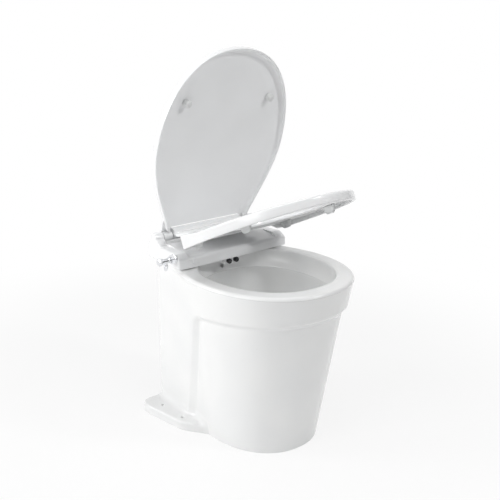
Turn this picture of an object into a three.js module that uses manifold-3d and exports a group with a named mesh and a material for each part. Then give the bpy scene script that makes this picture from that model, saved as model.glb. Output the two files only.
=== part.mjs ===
// Electric marine toilet: a ceramic pedestal with a macerator pump under the bowl,
// and a slim bidet base on the rim that carries the hinged seat and lid.
// Millimetres. +Z is up, -Y is the front, +X is on the right of someone who faces the front.
// The origin is on the floor, on the centreline, in the middle of the rear sill's thickness.

import * as THREE from 'three';
import { mergeVertices } from 'three/addons/utils/BufferGeometryUtils.js';
import Module from 'manifold-3d';

const wasm = await Module();
wasm.setup();

// General clearances
const gap = 0.3;
const overrun = 6;
const weldTolerance = 1e-4;
const hairline = 0.6;

// Pedestal
const rimHeight = 392;
const rimLength = 471;
const rimHalfWidth = 176;
const rimWidestDepth = 255;
const rearHalfWidth = 120;
const rearCornerRadius = 24;
const rimEdgeRadius = 6;
const outlinePower = 2.2;
const sillThickness = 16;
const ceramicWall = 9;
const rimSlab = 16;
const toeDepth = 389;
const bodyHalfWidth = 125;
const bodyWidestDepth = 230;
const skinToeDepth = 400;
const bandHeight = 67;
const stepHeight = 17;
const stepTop = rimHeight - bandHeight;
const stepBottom = stepTop - stepHeight;
const stepInset = 9.5;
const stepSlant = 8;
const grooveFloorDepth = 136;
const grooveKneeDrop = 126;
const grooveKneeHeight = rimHeight - grooveKneeDrop;
const grooveKneeDepth = 207;
const grooveCornerRadius = 40;

// Foot flanges
const footThickness = 22;
const footRearHalfWidth = 176.5;
const footFrontHalfWidth = 163;
const footRearInset = 4;
const footRearCorner = 23;
const footHoleRadius = 3.5;
const footHoleHalfSpacing = 146;
const footHoleRearDepth = 58;
const footHoleFrontDepth = 139;
const footRoot = 112;
const footEdgeRadius = 5;
const footFillet = 18;
const footFilletShares = [0.36, 0.24, 0.14];

// Bowl
const bowlHalfWidth = 138;
const bowlFrontDepth = 430;
const bowlRearDepth = 110;
const bowlMidDepth = 265;
const bowlLipRadius = 4;
const ledgeDrop = 41;
const ledgeHeight = rimHeight - ledgeDrop;
const ledgeInset = 10;
const undercutHeight = 4;
const basinBottom = 184;
const outletRadius = 28;
const outletDepth = 222;
const outletFlangeRadius = 40;
const outletFlangeThickness = 7;

// Rear window
const windowHalfWidth = 86;
const windowSill = 42;
const windowTop = 226;
const windowCorner = 26;

// Hinge base of the seat, with the bidet nozzles
const padThickness = 2;
const padRadius = 9;
const baseHalfWidth = 161;
const baseRearHalfWidth = 150;
const baseFrontDepth = 163.5;
const baseRearDepth = 24;
const baseFrontHeight = 24;
const baseWall = 3;
const baseEarHeight = 34;
const basePlate = 2;
const earInner = 131.5;
const earBossRadius = 13;
const baseNotchDepth = 15;
const baseSlopeRise = 5.5;
const plugRadius = 7;
const plugSide = 117;
const plugRise = 14;
const plugProud = 2;

// Hinge
const hingeDepth = 53;
const hingeRise = 51;
const hingeHeight = rimHeight + hingeRise;
const barrelRadius = 11;
const pinRadius = 5;
const runningClearance = 0.3;
const seatBarrelHalf = 102;
const knuckleInner = 104;
const knuckleOuter = 128;
const damperRadius = 8;
const damperLength = 46;
const pinInDamper = 12;
const pinEnd = 146;

// Seat
const seatOpenDegrees = 24;
const seatStopDegrees = 2;
const seatHalfWidth = 174;
const seatLength = 430;
const seatWidest = 213;
const seatRear = 113;
const seatRearHalfWidth = 163;
const seatTopDrop = 25;
const seatRearTopDrop = 16;
const seatTopRun = 90;
const seatFrontUnderDrop = 46;
const seatRearUnderDrop = 49;
const seatBarUnderDrop = 38;
const seatBarHalf = 120;
const seatOpeningHalf = 113;
const seatOpeningFront = 384;
const seatOpeningRear = 166;
const seatOpeningMid = 272;
const seatEdgeRadius = 5;
const seatCorner = 14;
const bridgeRearTop = 8;
const bridgeThickness = 8;
const bridgeHalfWidth = 124;
const bridgeNeckRun = 36;
const bridgeWideRun = 50;
const frontBumperRun = 296;
const frontBumperSide = 122;
const rearBumperRun = 137;
const rearBumperSide = 131;
const bumperLength = 36;
const bumperWidth = 10;

// Lid
const lidOpenDegrees = 75.5;
const lidTiltDegrees = 2.6;
const lidHalfWidth = 182;
const lidLength = 442;
const lidWidest = 215;
const lidRearHalfWidth = 122;
const lidRearRun = 10;
const lidLift = 5;
const lidWall = 4;
const lidLip = 12;
const lidLipWall = 5;
const lidCrown = 3;
const lidCrownInset = 60;
const lidBufferEdge = 1.5;
const lidNotchRun = 26;
const lidCorner = 16;
const lidBumperSide = 118;
const lidBumperRun = 323;
const lidBumperRadius = 8;

// Water inlet on the left end of the hinge base
const inletDepth = 146;
const inletRise = 26;
const inletHeight = rimHeight + inletRise;
const inletCollarRadius = 11;
const inletCollarLength = 11;
const inletBodyRadius = 6.5;
const inletBodyLength = 24;
const inletCapRadius = 8.5;
const inletCapLength = 8;
const inletBranchRadius = 5;
const inletBranchLength = 15;
const inletBore = 3.5;

// Bidet nozzles
const nozzleRadius = 6;
const nozzleLength = 26;
const nozzleSide = 10.5;
const nozzleTiltDegrees = 8;
const nozzleDepth = 158;
const nozzleDrop = 10.5;
const nozzleBore = 2;
const guardHalfWidth = 24;
const guardHeight = 17;
const guardLength = 18;
const guardDepth = 132;

// Fixing of the hinge base
const deckHoleRadius = 6;
const deckHoleSide = 78;
const deckHoleDepth = 62;
const deckBoltRadius = 4;
const deckBoltHeadRadius = 8;
const deckBoltHeadThickness = 5;
const deckBoltLength = 44;
const deckWasherRadius = 15;
const deckWasherThickness = 3;
const deckNutRadius = 10;
const deckNutThickness = 11;
const nutSides = 6;

// Macerator pump and motor
const pumpAxisHeight = 96;
const pumpRadius = 50;
const pumpWall = 6;
const pumpFrontDepth = 260.5;
const pumpLength = 76;
const pumpNeckRadius = 34;
const gasketThickness = 4;
const gasketRadius = 32;
const coverThickness = 6;
const coverRadius = 60;
const coverScrewRadius = 3;
const coverScrewCircle = 54;
const coverScrewCount = 4;
const cutterPlateThickness = 3;
const cutterPlateSlots = 6;
const cutterPlateSetback = 22;
const shaftRadius = 5;
const impellerRadius = 38;
const impellerWidth = 14;
const impellerHub = 12;
const impellerVanes = 5;
const vaneThickness = 4;
const bladeLength = 62;
const bladeWidth = 12;
const bladeThickness = 3;
const bladeClearance = 0.9;
const motorRadius = 38;
const motorLength = 92;
const motorFlange = 6;
const motorFlangeRadius = 41;
const endCapLength = 12;
const endCapVents = 6;
const ventCircleShare = 0.6;
const shaftBehind = 60;

// Motor bracket
const bracketWidth = 40;
const bracketThickness = 4;
const bracketHalfFoot = 58;
const bracketPad = 5;
const bracketPadHalf = 12;
const bracketSetback = 40;

// Discharge and rinse
const dischargeSide = 63;
const dischargeRadius = 19;
const dischargeWall = 3;
const dischargeRise = 30;
const valveRadius = 26;
const valveLength = 46;
const valveFrontDepth = 118;
const spigotLength = 40;
const spigotRings = 4;
const spigotRingHeight = 1.5;
const solenoidSide = 62;
const solenoidDepth = 92;
const solenoidHeight = 150;
const solenoidWidth = 34;
const solenoidLength = 40;
const solenoidTall = 30;
const coilRadius = 15;
const coilHeight = 30;
const coilNeck = 3;
const rinseTubeRadius = 8;
const rinseTubeBore = 5.5;
const rinseNozzleRadius = 6.5;
const rinseNozzleDrop = 28;
const rinseNozzleHeight = rimHeight - rinseNozzleDrop;
const rinseNozzleReach = 26;
const rinseHoleRadius = 7;
const rinseFlangeRadius = 12;
const rinseFlangeThickness = 4;
const hoseLiftShare = 0.7;
const hoseSwing = 34;

// Facet counts
const frontSteps = 12;
const sideSteps = 5;
const cornerSteps = 3;
const roundSides = 20;
const smallSides = 10;
const boltSides = 8;
const ringStations = 40;
const rearSteps = 6;
const footSteps = 26;

// Places that follow from the sizes above
const rearY = sillThickness / 2;
const ahead = (depth) => rearY - depth;
const hingeY = ahead(hingeDepth);
const baseBottom = rimHeight + padThickness + 2 * gap;
const dischargeHeight = pumpAxisHeight + dischargeRise;

const white = new THREE.MeshStandardMaterial({ color: 0xf2f3f4, roughness: 0.12, metalness: 0 });
const plastic = new THREE.MeshStandardMaterial({ color: 0xeff0f2, roughness: 0.3, metalness: 0 });
const black = new THREE.MeshStandardMaterial({ color: 0x1b1c1e, roughness: 0.45, metalness: 0 });
const rubber = new THREE.MeshStandardMaterial({ color: 0xd9dbdd, roughness: 0.7, metalness: 0 });
const darkRubber = new THREE.MeshStandardMaterial({ color: 0x242526, roughness: 0.8, metalness: 0 });
const chrome = new THREE.MeshStandardMaterial({ color: 0xc9ccd0, roughness: 0.12, metalness: 1 });
const steel = new THREE.MeshStandardMaterial({ color: 0xb4b7ba, roughness: 0.35, metalness: 1 });
const grey = new THREE.MeshStandardMaterial({ color: 0x6b6f74, roughness: 0.55, metalness: 0 });
const paint = new THREE.MeshStandardMaterial({ color: 0x2c2e33, roughness: 0.4, metalness: 0.2 });

const toilet = new THREE.Group();
const seatGroup = new THREE.Group();
const lidGroup = new THREE.Group();
for (const moving of [seatGroup, lidGroup]) {
  moving.position.set(0, hingeY, hingeHeight);
  toilet.add(moving);
}
seatGroup.rotation.x = -THREE.MathUtils.degToRad(seatOpenDegrees);
lidGroup.rotation.x = -THREE.MathUtils.degToRad(lidOpenDegrees);

// Solids

function weld(geometry) {
  const bare = geometry.clone();
  for (const name of Object.keys(bare.attributes)) {
    if (name !== 'position') bare.deleteAttribute(name);
  }
  const merged = mergeVertices(bare, weldTolerance);
  const corners = merged.index.array;
  const kept = [];
  for (let i = 0; i < corners.length; i += 3) {
    const [a, b, c] = [corners[i], corners[i + 1], corners[i + 2]];
    if (a !== b && b !== c && c !== a) kept.push(a, b, c);
  }
  merged.setIndex(kept);
  return merged;
}

function solidOf(geometry) {
  const welded = weld(geometry);
  const vertProperties = new Float32Array(welded.attributes.position.array);
  const triVerts = new Uint32Array(welded.index.array);
  return new wasm.Manifold(new wasm.Mesh({ numProp: 3, vertProperties, triVerts }));
}

function geometryOf(solid) {
  const { vertProperties, triVerts } = solid.getMesh();
  const geometry = new THREE.BufferGeometry();
  geometry.setAttribute('position', new THREE.BufferAttribute(new Float32Array(vertProperties), 3));
  geometry.setIndex(new THREE.BufferAttribute(new Uint32Array(triVerts), 1));
  geometry.computeVertexNormals();
  return geometry;
}

function joined(...solids) {
  return solids.reduce((whole, next) => whole.add(next));
}

function cutBy(solid, ...tools) {
  return tools.reduce((left, tool) => left.subtract(tool), solid);
}

function moved(solid, matrix) {
  const geometry = geometryOf(solid);
  geometry.applyMatrix4(matrix);
  return solidOf(geometry);
}

function add(name, solid, material, parent = toilet) {
  const mesh = new THREE.Mesh(geometryOf(solid), material);
  mesh.name = name;
  parent.add(mesh);
  return mesh;
}

// A skin over rings of points, one ring after another. Open ends are capped flat.
function skinned(rings, endless = false) {
  const count = rings[0].length;
  const points = rings.flat();
  const index = [];
  const turns = endless ? rings.length : rings.length - 1;
  for (let r = 0; r < turns; r += 1) {
    const low = r * count;
    const high = ((r + 1) % rings.length) * count;
    for (let i = 0; i < count; i += 1) {
      const j = (i + 1) % count;
      index.push(low + i, low + j, high + j, low + i, high + j, high + i);
    }
  }
  if (!endless) {
    capRing(rings[0], 0, index, true);
    capRing(rings[rings.length - 1], (rings.length - 1) * count, index, false);
  }
  const geometry = new THREE.BufferGeometry().setFromPoints(points);
  geometry.setIndex(index);
  if (signedVolume(points, index) < 0) {
    for (let i = 0; i < index.length; i += 3) {
      [index[i + 1], index[i + 2]] = [index[i + 2], index[i + 1]];
    }
    geometry.setIndex(index);
  }
  return solidOf(geometry);
}

function capRing(ring, first, index, isStart) {
  const centre = ring.reduce((sum, p) => sum.add(p), new THREE.Vector3()).divideScalar(ring.length);
  const normal = new THREE.Vector3();
  ring.forEach((p, i) => {
    const q = ring[(i + 1) % ring.length];
    normal.add(new THREE.Vector3().crossVectors(p.clone().sub(centre), q.clone().sub(centre)));
  });
  const across = ring[0].clone().sub(centre).normalize();
  const up = new THREE.Vector3().crossVectors(normal.normalize(), across);
  const flat = ring.map((p) => {
    const arm = p.clone().sub(centre);
    return new THREE.Vector2(arm.dot(across), arm.dot(up));
  });
  for (const [a, b, c] of THREE.ShapeUtils.triangulateShape(flat, [])) {
    if (isStart) index.push(first + c, first + b, first + a);
    else index.push(first + a, first + b, first + c);
  }
}

function signedVolume(points, index) {
  let total = 0;
  for (let i = 0; i < index.length; i += 3) {
    const [a, b, c] = [points[index[i]], points[index[i + 1]], points[index[i + 2]]];
    total += a.dot(new THREE.Vector3().crossVectors(b, c));
  }
  return total;
}

// A loft up Z through outlines of [x, y] points.
function loft(sections) {
  return skinned(sections.map(({ z, outline }) => outline.map(([x, y]) => new THREE.Vector3(x, y, z))));
}

// A profile of [y, z] points pushed along X.
function pushedAlongX(profile, fromX, toX) {
  const shape = new THREE.Shape(profile.map(([y, z]) => new THREE.Vector2(y, z)));
  const geometry = new THREE.ExtrudeGeometry(shape, { depth: toX - fromX, bevelEnabled: false });
  const toWorld = new THREE.Matrix4().makeBasis(
    new THREE.Vector3(0, 1, 0),
    new THREE.Vector3(0, 0, 1),
    new THREE.Vector3(1, 0, 0),
  );
  geometry.applyMatrix4(toWorld);
  geometry.translate(fromX, 0, 0);
  return solidOf(geometry);
}

// A shape drawn in X and Z, seen from the front, pushed back along Y.
function pushedAlongY(shape, fromY, toY) {
  const settings = { depth: toY - fromY, bevelEnabled: false, curveSegments: 5 };
  const geometry = new THREE.ExtrudeGeometry(shape, settings);
  geometry.rotateX(Math.PI / 2);
  geometry.translate(0, toY, 0);
  return solidOf(geometry);
}

// A turned piece: [radius, height] points about a line from a start point along a direction.
function turned(profile, start, direction, sides = roundSides) {
  const points = profile.map(([radius, height]) => new THREE.Vector2(radius, height));
  const geometry = new THREE.LatheGeometry(points, sides);
  const turn = new THREE.Quaternion().setFromUnitVectors(along.y, direction.clone().normalize());
  geometry.applyQuaternion(turn);
  geometry.translate(start.x, start.y, start.z);
  const solid = solidOf(geometry);
  return solid.volume() < 0 ? solidOf(flipped(geometry)) : solid;
}

function flipped(geometry) {
  const turnedOut = geometry.clone();
  const index = Array.from(turnedOut.index.array);
  for (let i = 0; i < index.length; i += 3) {
    [index[i + 1], index[i + 2]] = [index[i + 2], index[i + 1]];
  }
  turnedOut.setIndex(index);
  return turnedOut;
}

const along = {
  x: new THREE.Vector3(1, 0, 0),
  y: new THREE.Vector3(0, 1, 0),
  z: new THREE.Vector3(0, 0, 1),
};
const at = (x, y, z) => new THREE.Vector3(x, y, z);

function rod(radius, start, direction, length, sides = roundSides) {
  return turned([[0, 0], [radius, 0], [radius, length], [0, length]], start, direction, sides);
}

function pipe(outer, bore, start, direction, length, sides = roundSides) {
  return turned(
    [[bore, 0], [outer, 0], [outer, length], [bore, length], [bore, 0]],
    start,
    direction,
    sides,
  );
}

function block(x, y, z, centreX, centreY, centreZ) {
  const geometry = new THREE.BoxGeometry(x, y, z);
  geometry.translate(centreX, centreY, centreZ);
  return solidOf(geometry);
}

// Outlines, drawn at a depth ahead of the rear face

// The plan of the pedestal: a full round nose, straight drawn-in sides and a square back.
function pedestalOutline({ half, widest, front, rearHalf, rear, corner, power = outlinePower }) {
  const right = [];
  for (let i = 0; i <= frontSteps; i += 1) {
    const turn = (i / frontSteps) * (Math.PI / 2);
    const x = half * Math.sin(turn) ** (2 / power);
    right.push([x, ahead(widest + (front - widest) * Math.cos(turn) ** (2 / power))]);
  }
  const sideStart = new THREE.Vector2(half, widest);
  const sideEnd = new THREE.Vector2(rearHalf, rear + corner);
  const run = sideStart.y - sideEnd.y;
  const side = new THREE.CubicBezierCurve(
    sideStart,
    new THREE.Vector2(half, widest - run / 4),
    new THREE.Vector2(rearHalf + (half - rearHalf) / 4, sideEnd.y + run / 4),
    sideEnd,
  );
  for (let i = 1; i <= sideSteps; i += 1) {
    const point = side.getPoint(i / sideSteps);
    right.push([point.x, ahead(point.y)]);
  }
  for (let i = 1; i <= cornerSteps; i += 1) {
    const turn = (i / cornerSteps) * (Math.PI / 2);
    right.push([rearHalf - corner * (1 - Math.cos(turn)), ahead(rear + corner * (1 - Math.sin(turn)))]);
  }
  return mirrored(right);
}

function mirrored(right) {
  const left = right.filter(([x]) => x > weldTolerance).map(([x, y]) => [-x, y]).reverse();
  return [...right, ...left];
}

// The plan of the bowl: a superellipse with a longer front than rear.
function bowlOutline({ half, front, rear, mid }) {
  const points = [];
  const steps = ringStations;
  for (let i = 0; i < steps; i += 1) {
    const turn = (i / steps) * 2 * Math.PI;
    const reach = Math.cos(turn) > 0 ? front - mid : mid - rear;
    const x = half * Math.sign(Math.sin(turn)) * Math.abs(Math.sin(turn)) ** (2 / outlinePower);
    const run = reach * Math.sign(Math.cos(turn)) * Math.abs(Math.cos(turn)) ** (2 / outlinePower);
    points.push([x, ahead(mid + run)]);
  }
  return points;
}

const mix = (a, b, share) => a + (b - a) * share;

// Pedestal

// The outer skin at a height: the rim's plan draws in evenly to the floor.
function skinAt(z, inset = 0) {
  const share = z / rimHeight;
  return pedestalOutline({
    half: mix(bodyHalfWidth, rimHalfWidth, share) - inset,
    widest: mix(bodyWidestDepth, rimWidestDepth, share),
    front: mix(skinToeDepth, rimLength, share) - inset,
    rearHalf: rearHalfWidth - inset,
    rear: inset,
    corner: rearCornerRadius,
  });
}

// The recessed body under the band, which tapers straight to the floor.
function bodyAt(z, inset, rearHalf, rear) {
  const share = z / stepBottom;
  const stepShare = stepBottom / rimHeight;
  return pedestalOutline({
    half: mix(bodyHalfWidth, mix(bodyHalfWidth, rimHalfWidth, stepShare) - stepInset, share) - inset,
    widest: mix(bodyWidestDepth, rimWidestDepth, z / rimHeight),
    front: mix(toeDepth, mix(skinToeDepth, rimLength, stepShare) - stepInset, share) - inset,
    rearHalf,
    rear,
    corner: rearCornerRadius,
  });
}

// The tool that sets the front body back behind the band and the rear column.
// Its back wall leans rearward going down and turns forward in a round corner under the band.
function recessTool() {
  const lean = (grooveKneeDepth - grooveFloorDepth) / grooveKneeHeight;
  const levels = [
    { z: -overrun, depth: grooveFloorDepth - lean * overrun },
    { z: grooveKneeHeight, depth: grooveKneeDepth },
  ];
  const turns = 4;
  for (let i = 1; i <= turns; i += 1) {
    const turn = (i / turns) * (Math.PI / 2);
    levels.push({
      z: grooveKneeHeight + grooveCornerRadius * Math.sin(turn),
      depth: grooveKneeDepth + grooveCornerRadius * (1 - Math.cos(turn)),
    });
  }
  levels.push({ z: (stepBottom + stepTop) / 2, depth: mix(rimWidestDepth, rimLength, 1 / 2) });
  levels.push({ z: stepTop, depth: rimLength + overrun });
  const far = rimHalfWidth + overrun;
  const nose = ahead(rimLength + rimHalfWidth);
  return loft(levels.map(({ z, depth }) => {
    const outer = mix(rearHalfWidth, rimHalfWidth, Math.max(z, 0) / rimHeight);
    const inner = outer - 2 * stepSlant;
    const right = [
      [inner, ahead(depth + stepSlant)],
      [outer, ahead(depth - stepSlant)],
      [far, ahead(depth - stepSlant)],
      [far, nose],
    ];
    const left = right.map(([x, y]) => [-x, y]).reverse();
    return { z, outline: [...right, ...left] };
  }));
}

// One mounting foot: a thick flange whose top sweeps up into the column.
function foot(side) {
  const edge = new THREE.Path();
  edge.moveTo(footRoot, footRearInset);
  edge.lineTo(footRearHalfWidth - footRearCorner, footRearInset);
  edge.quadraticCurveTo(footRearHalfWidth, footRearInset, footRearHalfWidth, footRearInset + footRearCorner);
  edge.lineTo(footFrontHalfWidth, footHoleFrontDepth);
  const lobe = footHoleFrontDepth + footThickness;
  edge.bezierCurveTo(
    footFrontHalfWidth - footHoleRadius, lobe + footHoleRadius,
    mix(bodyHalfWidth, footFrontHalfWidth, 1 / 3), lobe + footThickness,
    bodyHalfWidth, lobe + 2 * footThickness,
  );
  edge.lineTo(footRoot, bodyWidestDepth + footThickness);
  const points = edge.getSpacedPoints(footSteps);
  const flangeReach = footFrontHalfWidth - footRoot;
  const levels = [
    { z: 0, share: 1 },
    { z: footThickness - footEdgeRadius, share: 1 },
    { z: footThickness - footEdgeRadius / 4, share: 1 - footEdgeRadius / 2 / flangeReach },
    { z: footThickness, share: 1 - footEdgeRadius / flangeReach },
    { z: footThickness, share: footFilletShares[0] },
    { z: footThickness + footFillet / 4, share: footFilletShares[1] },
    { z: footThickness + footFillet, share: footFilletShares[2] },
  ];
  return loft(levels.map(({ z, share }) => ({
    z,
    outline: points.map((p) => [side * mix(footRoot, p.x, share), ahead(p.y)]),
  })));
}

// The bowl inside: half-width and front, rear and middle depth at each height, top first.
// The wall drops from the lip to a ledge, is cut back under it and then closes to the outlet.
const basinDepth = ledgeHeight - basinBottom;
const basinShares = [
  { down: 0, half: 1, front: 1, rear: 1 },
  { down: 0.16, half: 0.97, front: 0.97, rear: 0.95 },
  { down: 0.4, half: 0.86, front: 0.85, rear: 0.83 },
  { down: 0.64, half: 0.69, front: 0.67, rear: 0.63 },
  { down: 0.84, half: 0.48, front: 0.46, rear: 0.45 },
  { down: 0.96, half: 0.31, front: 0.28, rear: 0.33 },
];

function basinSection({ down, half, front, rear }, wall) {
  const mid = mix(bowlMidDepth, outletDepth, down);
  return {
    z: ledgeHeight - undercutHeight - down * basinDepth - (wall > 0 ? wall * down : 0),
    outline: bowlOutline({
      half: half * bowlHalfWidth + wall,
      front: mid + front * (bowlFrontDepth - bowlMidDepth) + wall,
      rear: mid - rear * (bowlMidDepth - bowlRearDepth) - wall,
      mid,
    }),
  };
}

function openingSection(z, inset) {
  const outline = bowlOutline({
    half: bowlHalfWidth - inset,
    front: bowlFrontDepth - inset,
    rear: bowlRearDepth + inset,
    mid: bowlMidDepth,
  });
  return { z, outline };
}

function outletSection(z, radius) {
  const outline = bowlOutline({
    half: radius,
    front: outletDepth + radius,
    rear: outletDepth - radius,
    mid: outletDepth,
  });
  return { z, outline };
}

const outletTop = basinBottom - undercutHeight - basinDepth / basinShares.length / 4;
const flangeBottom = outletTop - outletFlangeThickness - ceramicWall;

function basin() {
  return loft([
    openingSection(rimHeight + overrun, -bowlLipRadius),
    openingSection(rimHeight, -bowlLipRadius),
    openingSection(rimHeight - bowlLipRadius / 4, -bowlLipRadius / 4),
    openingSection(rimHeight - bowlLipRadius, 0),
    openingSection(ledgeHeight, ledgeInset),
    openingSection(ledgeHeight - hairline, ledgeInset),
    ...basinShares.map((share) => basinSection(share, 0)),
    outletSection(outletTop, outletRadius),
    outletSection(flangeBottom - overrun, outletRadius),
  ]);
}

// The outside of the bowl's own wall, at a spare clearance around it.
function bowlShell(top, spare) {
  return loft([
    openingSection(top, -ceramicWall - spare),
    ...basinShares.map((share) => basinSection(share, ceramicWall + spare)),
    outletSection(outletTop - ceramicWall - spare, outletFlangeRadius + spare),
    outletSection(flangeBottom - spare, outletFlangeRadius + spare),
  ]);
}

// The hollow of the casting, open to the floor, in front under the bowl and in the column.
function hollow() {
  const roof = rimHeight - rimSlab;
  const bodyRear = footHoleRearDepth;
  const bodyRearHalf = rearHalfWidth - 3 * rimSlab;
  const front = loft([
    { z: -overrun, outline: bodyAt(0, ceramicWall, bodyRearHalf, bodyRear) },
    { z: stepBottom, outline: bodyAt(stepBottom, ceramicWall, bodyRearHalf, bodyRear) },
    { z: roof, outline: bodyAt(roof, ceramicWall, bodyRearHalf, bodyRear) },
  ]);
  const inner = rearHalfWidth - ceramicWall;
  const back = ahead(sillThickness);
  const mouth = ahead(grooveFloorDepth - stepSlant - ceramicWall);
  const round = rearCornerRadius - ceramicWall;
  const plan = [
    [inner, mouth], [inner, back - round], [inner - round / 4, back - round / 4], [inner - round, back],
  ];
  const column = loft([-overrun, roof].map((z) => ({ z, outline: mirrored(plan) })));
  return joined(front, column);
}

function rearWindow() {
  const shape = new THREE.Shape();
  const [w, low, high, r] = [windowHalfWidth, windowSill, windowTop, windowCorner];
  shape.moveTo(-w + r, low);
  shape.lineTo(w - r, low);
  shape.absarc(w - r, low + r, r, -Math.PI / 2, 0, false);
  shape.lineTo(w, high - r);
  shape.absarc(w - r, high - r, r, 0, Math.PI / 2, false);
  shape.lineTo(-w + r, high);
  shape.absarc(-w + r, high - r, r, Math.PI / 2, Math.PI, false);
  shape.lineTo(-w, low + r);
  shape.absarc(-w + r, low + r, r, Math.PI, 1.5 * Math.PI, false);
  return pushedAlongY(shape, ahead(sillThickness) - overrun, rearY + overrun);
}

function pedestal() {
  const skinShares = [0, 0.25, 0.5, 0.75, 1];
  const skin = loft([
    ...skinShares.map((share) => share * (rimHeight - rimEdgeRadius)).map((z) => ({ z, outline: skinAt(z) })),
    { z: rimHeight - rimEdgeRadius / 4, outline: skinAt(rimHeight, rimEdgeRadius / 4) },
    { z: rimHeight, outline: skinAt(rimHeight, rimEdgeRadius) },
  ]);
  const bodyRearHalf = rearHalfWidth - rearCornerRadius;
  const band = skinAt(stepTop, hairline);
  const frontBody = loft([
    { z: 0, outline: bodyAt(0, 0, bodyRearHalf, rearCornerRadius) },
    { z: stepBottom, outline: bodyAt(stepBottom, 0, bodyRearHalf, rearCornerRadius) },
    { z: stepTop, outline: band },
  ]);
  const footHoles = [];
  for (const side of [-1, 1]) {
    for (const depth of [footHoleRearDepth, footHoleFrontDepth]) {
      const centre = at(side * footHoleHalfSpacing, ahead(depth), -overrun);
      footHoles.push(rod(footHoleRadius, centre, along.z, footThickness + 2 * overrun, smallSides));
    }
  }
  const deckHoles = [-1, 1].map((side) => rod(
    deckHoleRadius,
    at(side * deckHoleSide, ahead(deckHoleDepth), rimHeight - rimSlab - overrun),
    along.z,
    rimSlab + 2 * overrun,
    smallSides,
  ));
  const outside = joined(cutBy(skin, recessTool()), frontBody, foot(-1), foot(1));
  const bowlRoom = bowlShell(rimHeight + overrun, gap);
  return cutBy(outside, hollow(), bowlRoom, rearWindow(), ...footHoles, ...deckHoles);
}

add('pedestal', pedestal(), white);

// The bowl is cast by itself and set into the pedestal's rim before the firing.
function bowl() {
  const rinseHole = rod(
    rinseHoleRadius,
    at(0, ahead(bowlRearDepth + ledgeInset), rinseNozzleHeight),
    along.y,
    ledgeInset + 2 * ceramicWall,
    smallSides,
  );
  return cutBy(bowlShell(rimHeight, 0), basin(), rinseHole);
}

add('bowl', bowl(), white);

// Macerator pump, hung under the bowl's outlet with its shaft pointing rearward

const pumpFrontY = ahead(pumpFrontDepth);
const pumpRearY = pumpFrontY + pumpLength;
const neckTop = flangeBottom - gap - gasketThickness - gap;
const pumpCentre = (y) => at(0, y, pumpAxisHeight);
const outletY = ahead(outletDepth);
const dischargeY = pumpRearY - dischargeRadius - dischargeWall - pumpWall;

add('outlet_gasket', pipe(
  gasketRadius,
  outletRadius,
  at(0, outletY, flangeBottom - gap - gasketThickness),
  along.z,
  gasketThickness,
), darkRubber);

const screwPlaces = Array.from({ length: coverScrewCount }, (_, i) => {
  const turn = ((i + 1 / 2) / coverScrewCount) * 2 * Math.PI;
  return [coverScrewCircle * Math.cos(turn), pumpAxisHeight + coverScrewCircle * Math.sin(turn)];
});
function maceratorHousing() {
  const casing = joined(
    rod(pumpRadius, pumpCentre(pumpFrontY), along.y, pumpLength),
    rod(coverRadius, pumpCentre(pumpFrontY), along.y, coverThickness),
  );
  const screwHoles = screwPlaces.map(([x, z]) => rod(coverScrewRadius + gap, at(x, pumpFrontY - overrun, z),
    along.y, coverThickness + 2 * overrun, smallSides));
  const neck = rod(pumpNeckRadius, at(0, outletY, pumpAxisHeight), along.z, neckTop - pumpAxisHeight);
  const volute = rod(dischargeRadius + dischargeWall, at(0, dischargeY, dischargeHeight), along.x,
    dischargeSide - dischargeRadius - dischargeWall - gap);
  const chamber = rod(pumpRadius - pumpWall, pumpCentre(pumpFrontY - overrun), along.y,
    pumpLength - pumpWall + overrun);
  const throat = rod(outletRadius, at(0, outletY, pumpAxisHeight), along.z,
    neckTop + overrun - pumpAxisHeight);
  const way = rod(dischargeRadius - dischargeWall, at(0, dischargeY, dischargeHeight), along.x,
    dischargeSide);
  const shaftHole = rod(shaftRadius + runningClearance, pumpCentre(pumpRearY - pumpWall - overrun), along.y,
    pumpWall + 2 * overrun, smallSides);
  return cutBy(joined(casing, neck, volute), chamber, throat, way, shaftHole, ...screwHoles);
}
add('macerator_housing', maceratorHousing(), grey);

const coverFrontY = pumpFrontY - gap - coverThickness;
function maceratorCover() {
  const disc = rod(coverRadius, pumpCentre(coverFrontY), along.y, coverThickness);
  const rib = pipe(coverRadius - 3 * coverThickness, coverRadius - 4 * coverThickness,
    pumpCentre(coverFrontY - coverThickness / 2), along.y, coverThickness);
  const holes = screwPlaces.map(([x, z]) => rod(coverScrewRadius + gap, at(x, coverFrontY - overrun, z),
    along.y, coverThickness + 2 * overrun, smallSides));
  return cutBy(joined(disc, rib), ...holes);
}
add('macerator_cover', maceratorCover(), grey);

function cutterPlate() {
  const radius = pumpRadius - pumpWall - gap;
  const plateY = pumpFrontY + cutterPlateSetback;
  let plate = pipe(radius, shaftRadius + runningClearance, pumpCentre(plateY), along.y, cutterPlateThickness);
  for (let i = 0; i < cutterPlateSlots; i += 1) {
    const turn = (i / cutterPlateSlots) * 2 * Math.PI;
    const reach = radius / 2 + shaftRadius / 2;
    const slot = rod(radius / 5, at(reach * Math.cos(turn), plateY - overrun,
      pumpAxisHeight + reach * Math.sin(turn)), along.y, cutterPlateThickness + 2 * overrun, boltSides);
    plate = cutBy(plate, slot);
  }
  return plate;
}
add('cutter_plate', cutterPlate(), steel);

// The turning parts: one shaft carries the chopper blade in front of the plate and the impeller behind it.
const impellerY = pumpRearY - pumpWall - impellerWidth - 2 * bladeThickness;
const bladeY = pumpFrontY + cutterPlateSetback - bladeThickness - bladeClearance;
const shaftFrontY = bladeY - bladeThickness;
add('motor_shaft', rod(
  shaftRadius,
  pumpCentre(shaftFrontY),
  along.y,
  pumpRearY + shaftBehind - shaftFrontY,
  smallSides,
), steel);

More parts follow.
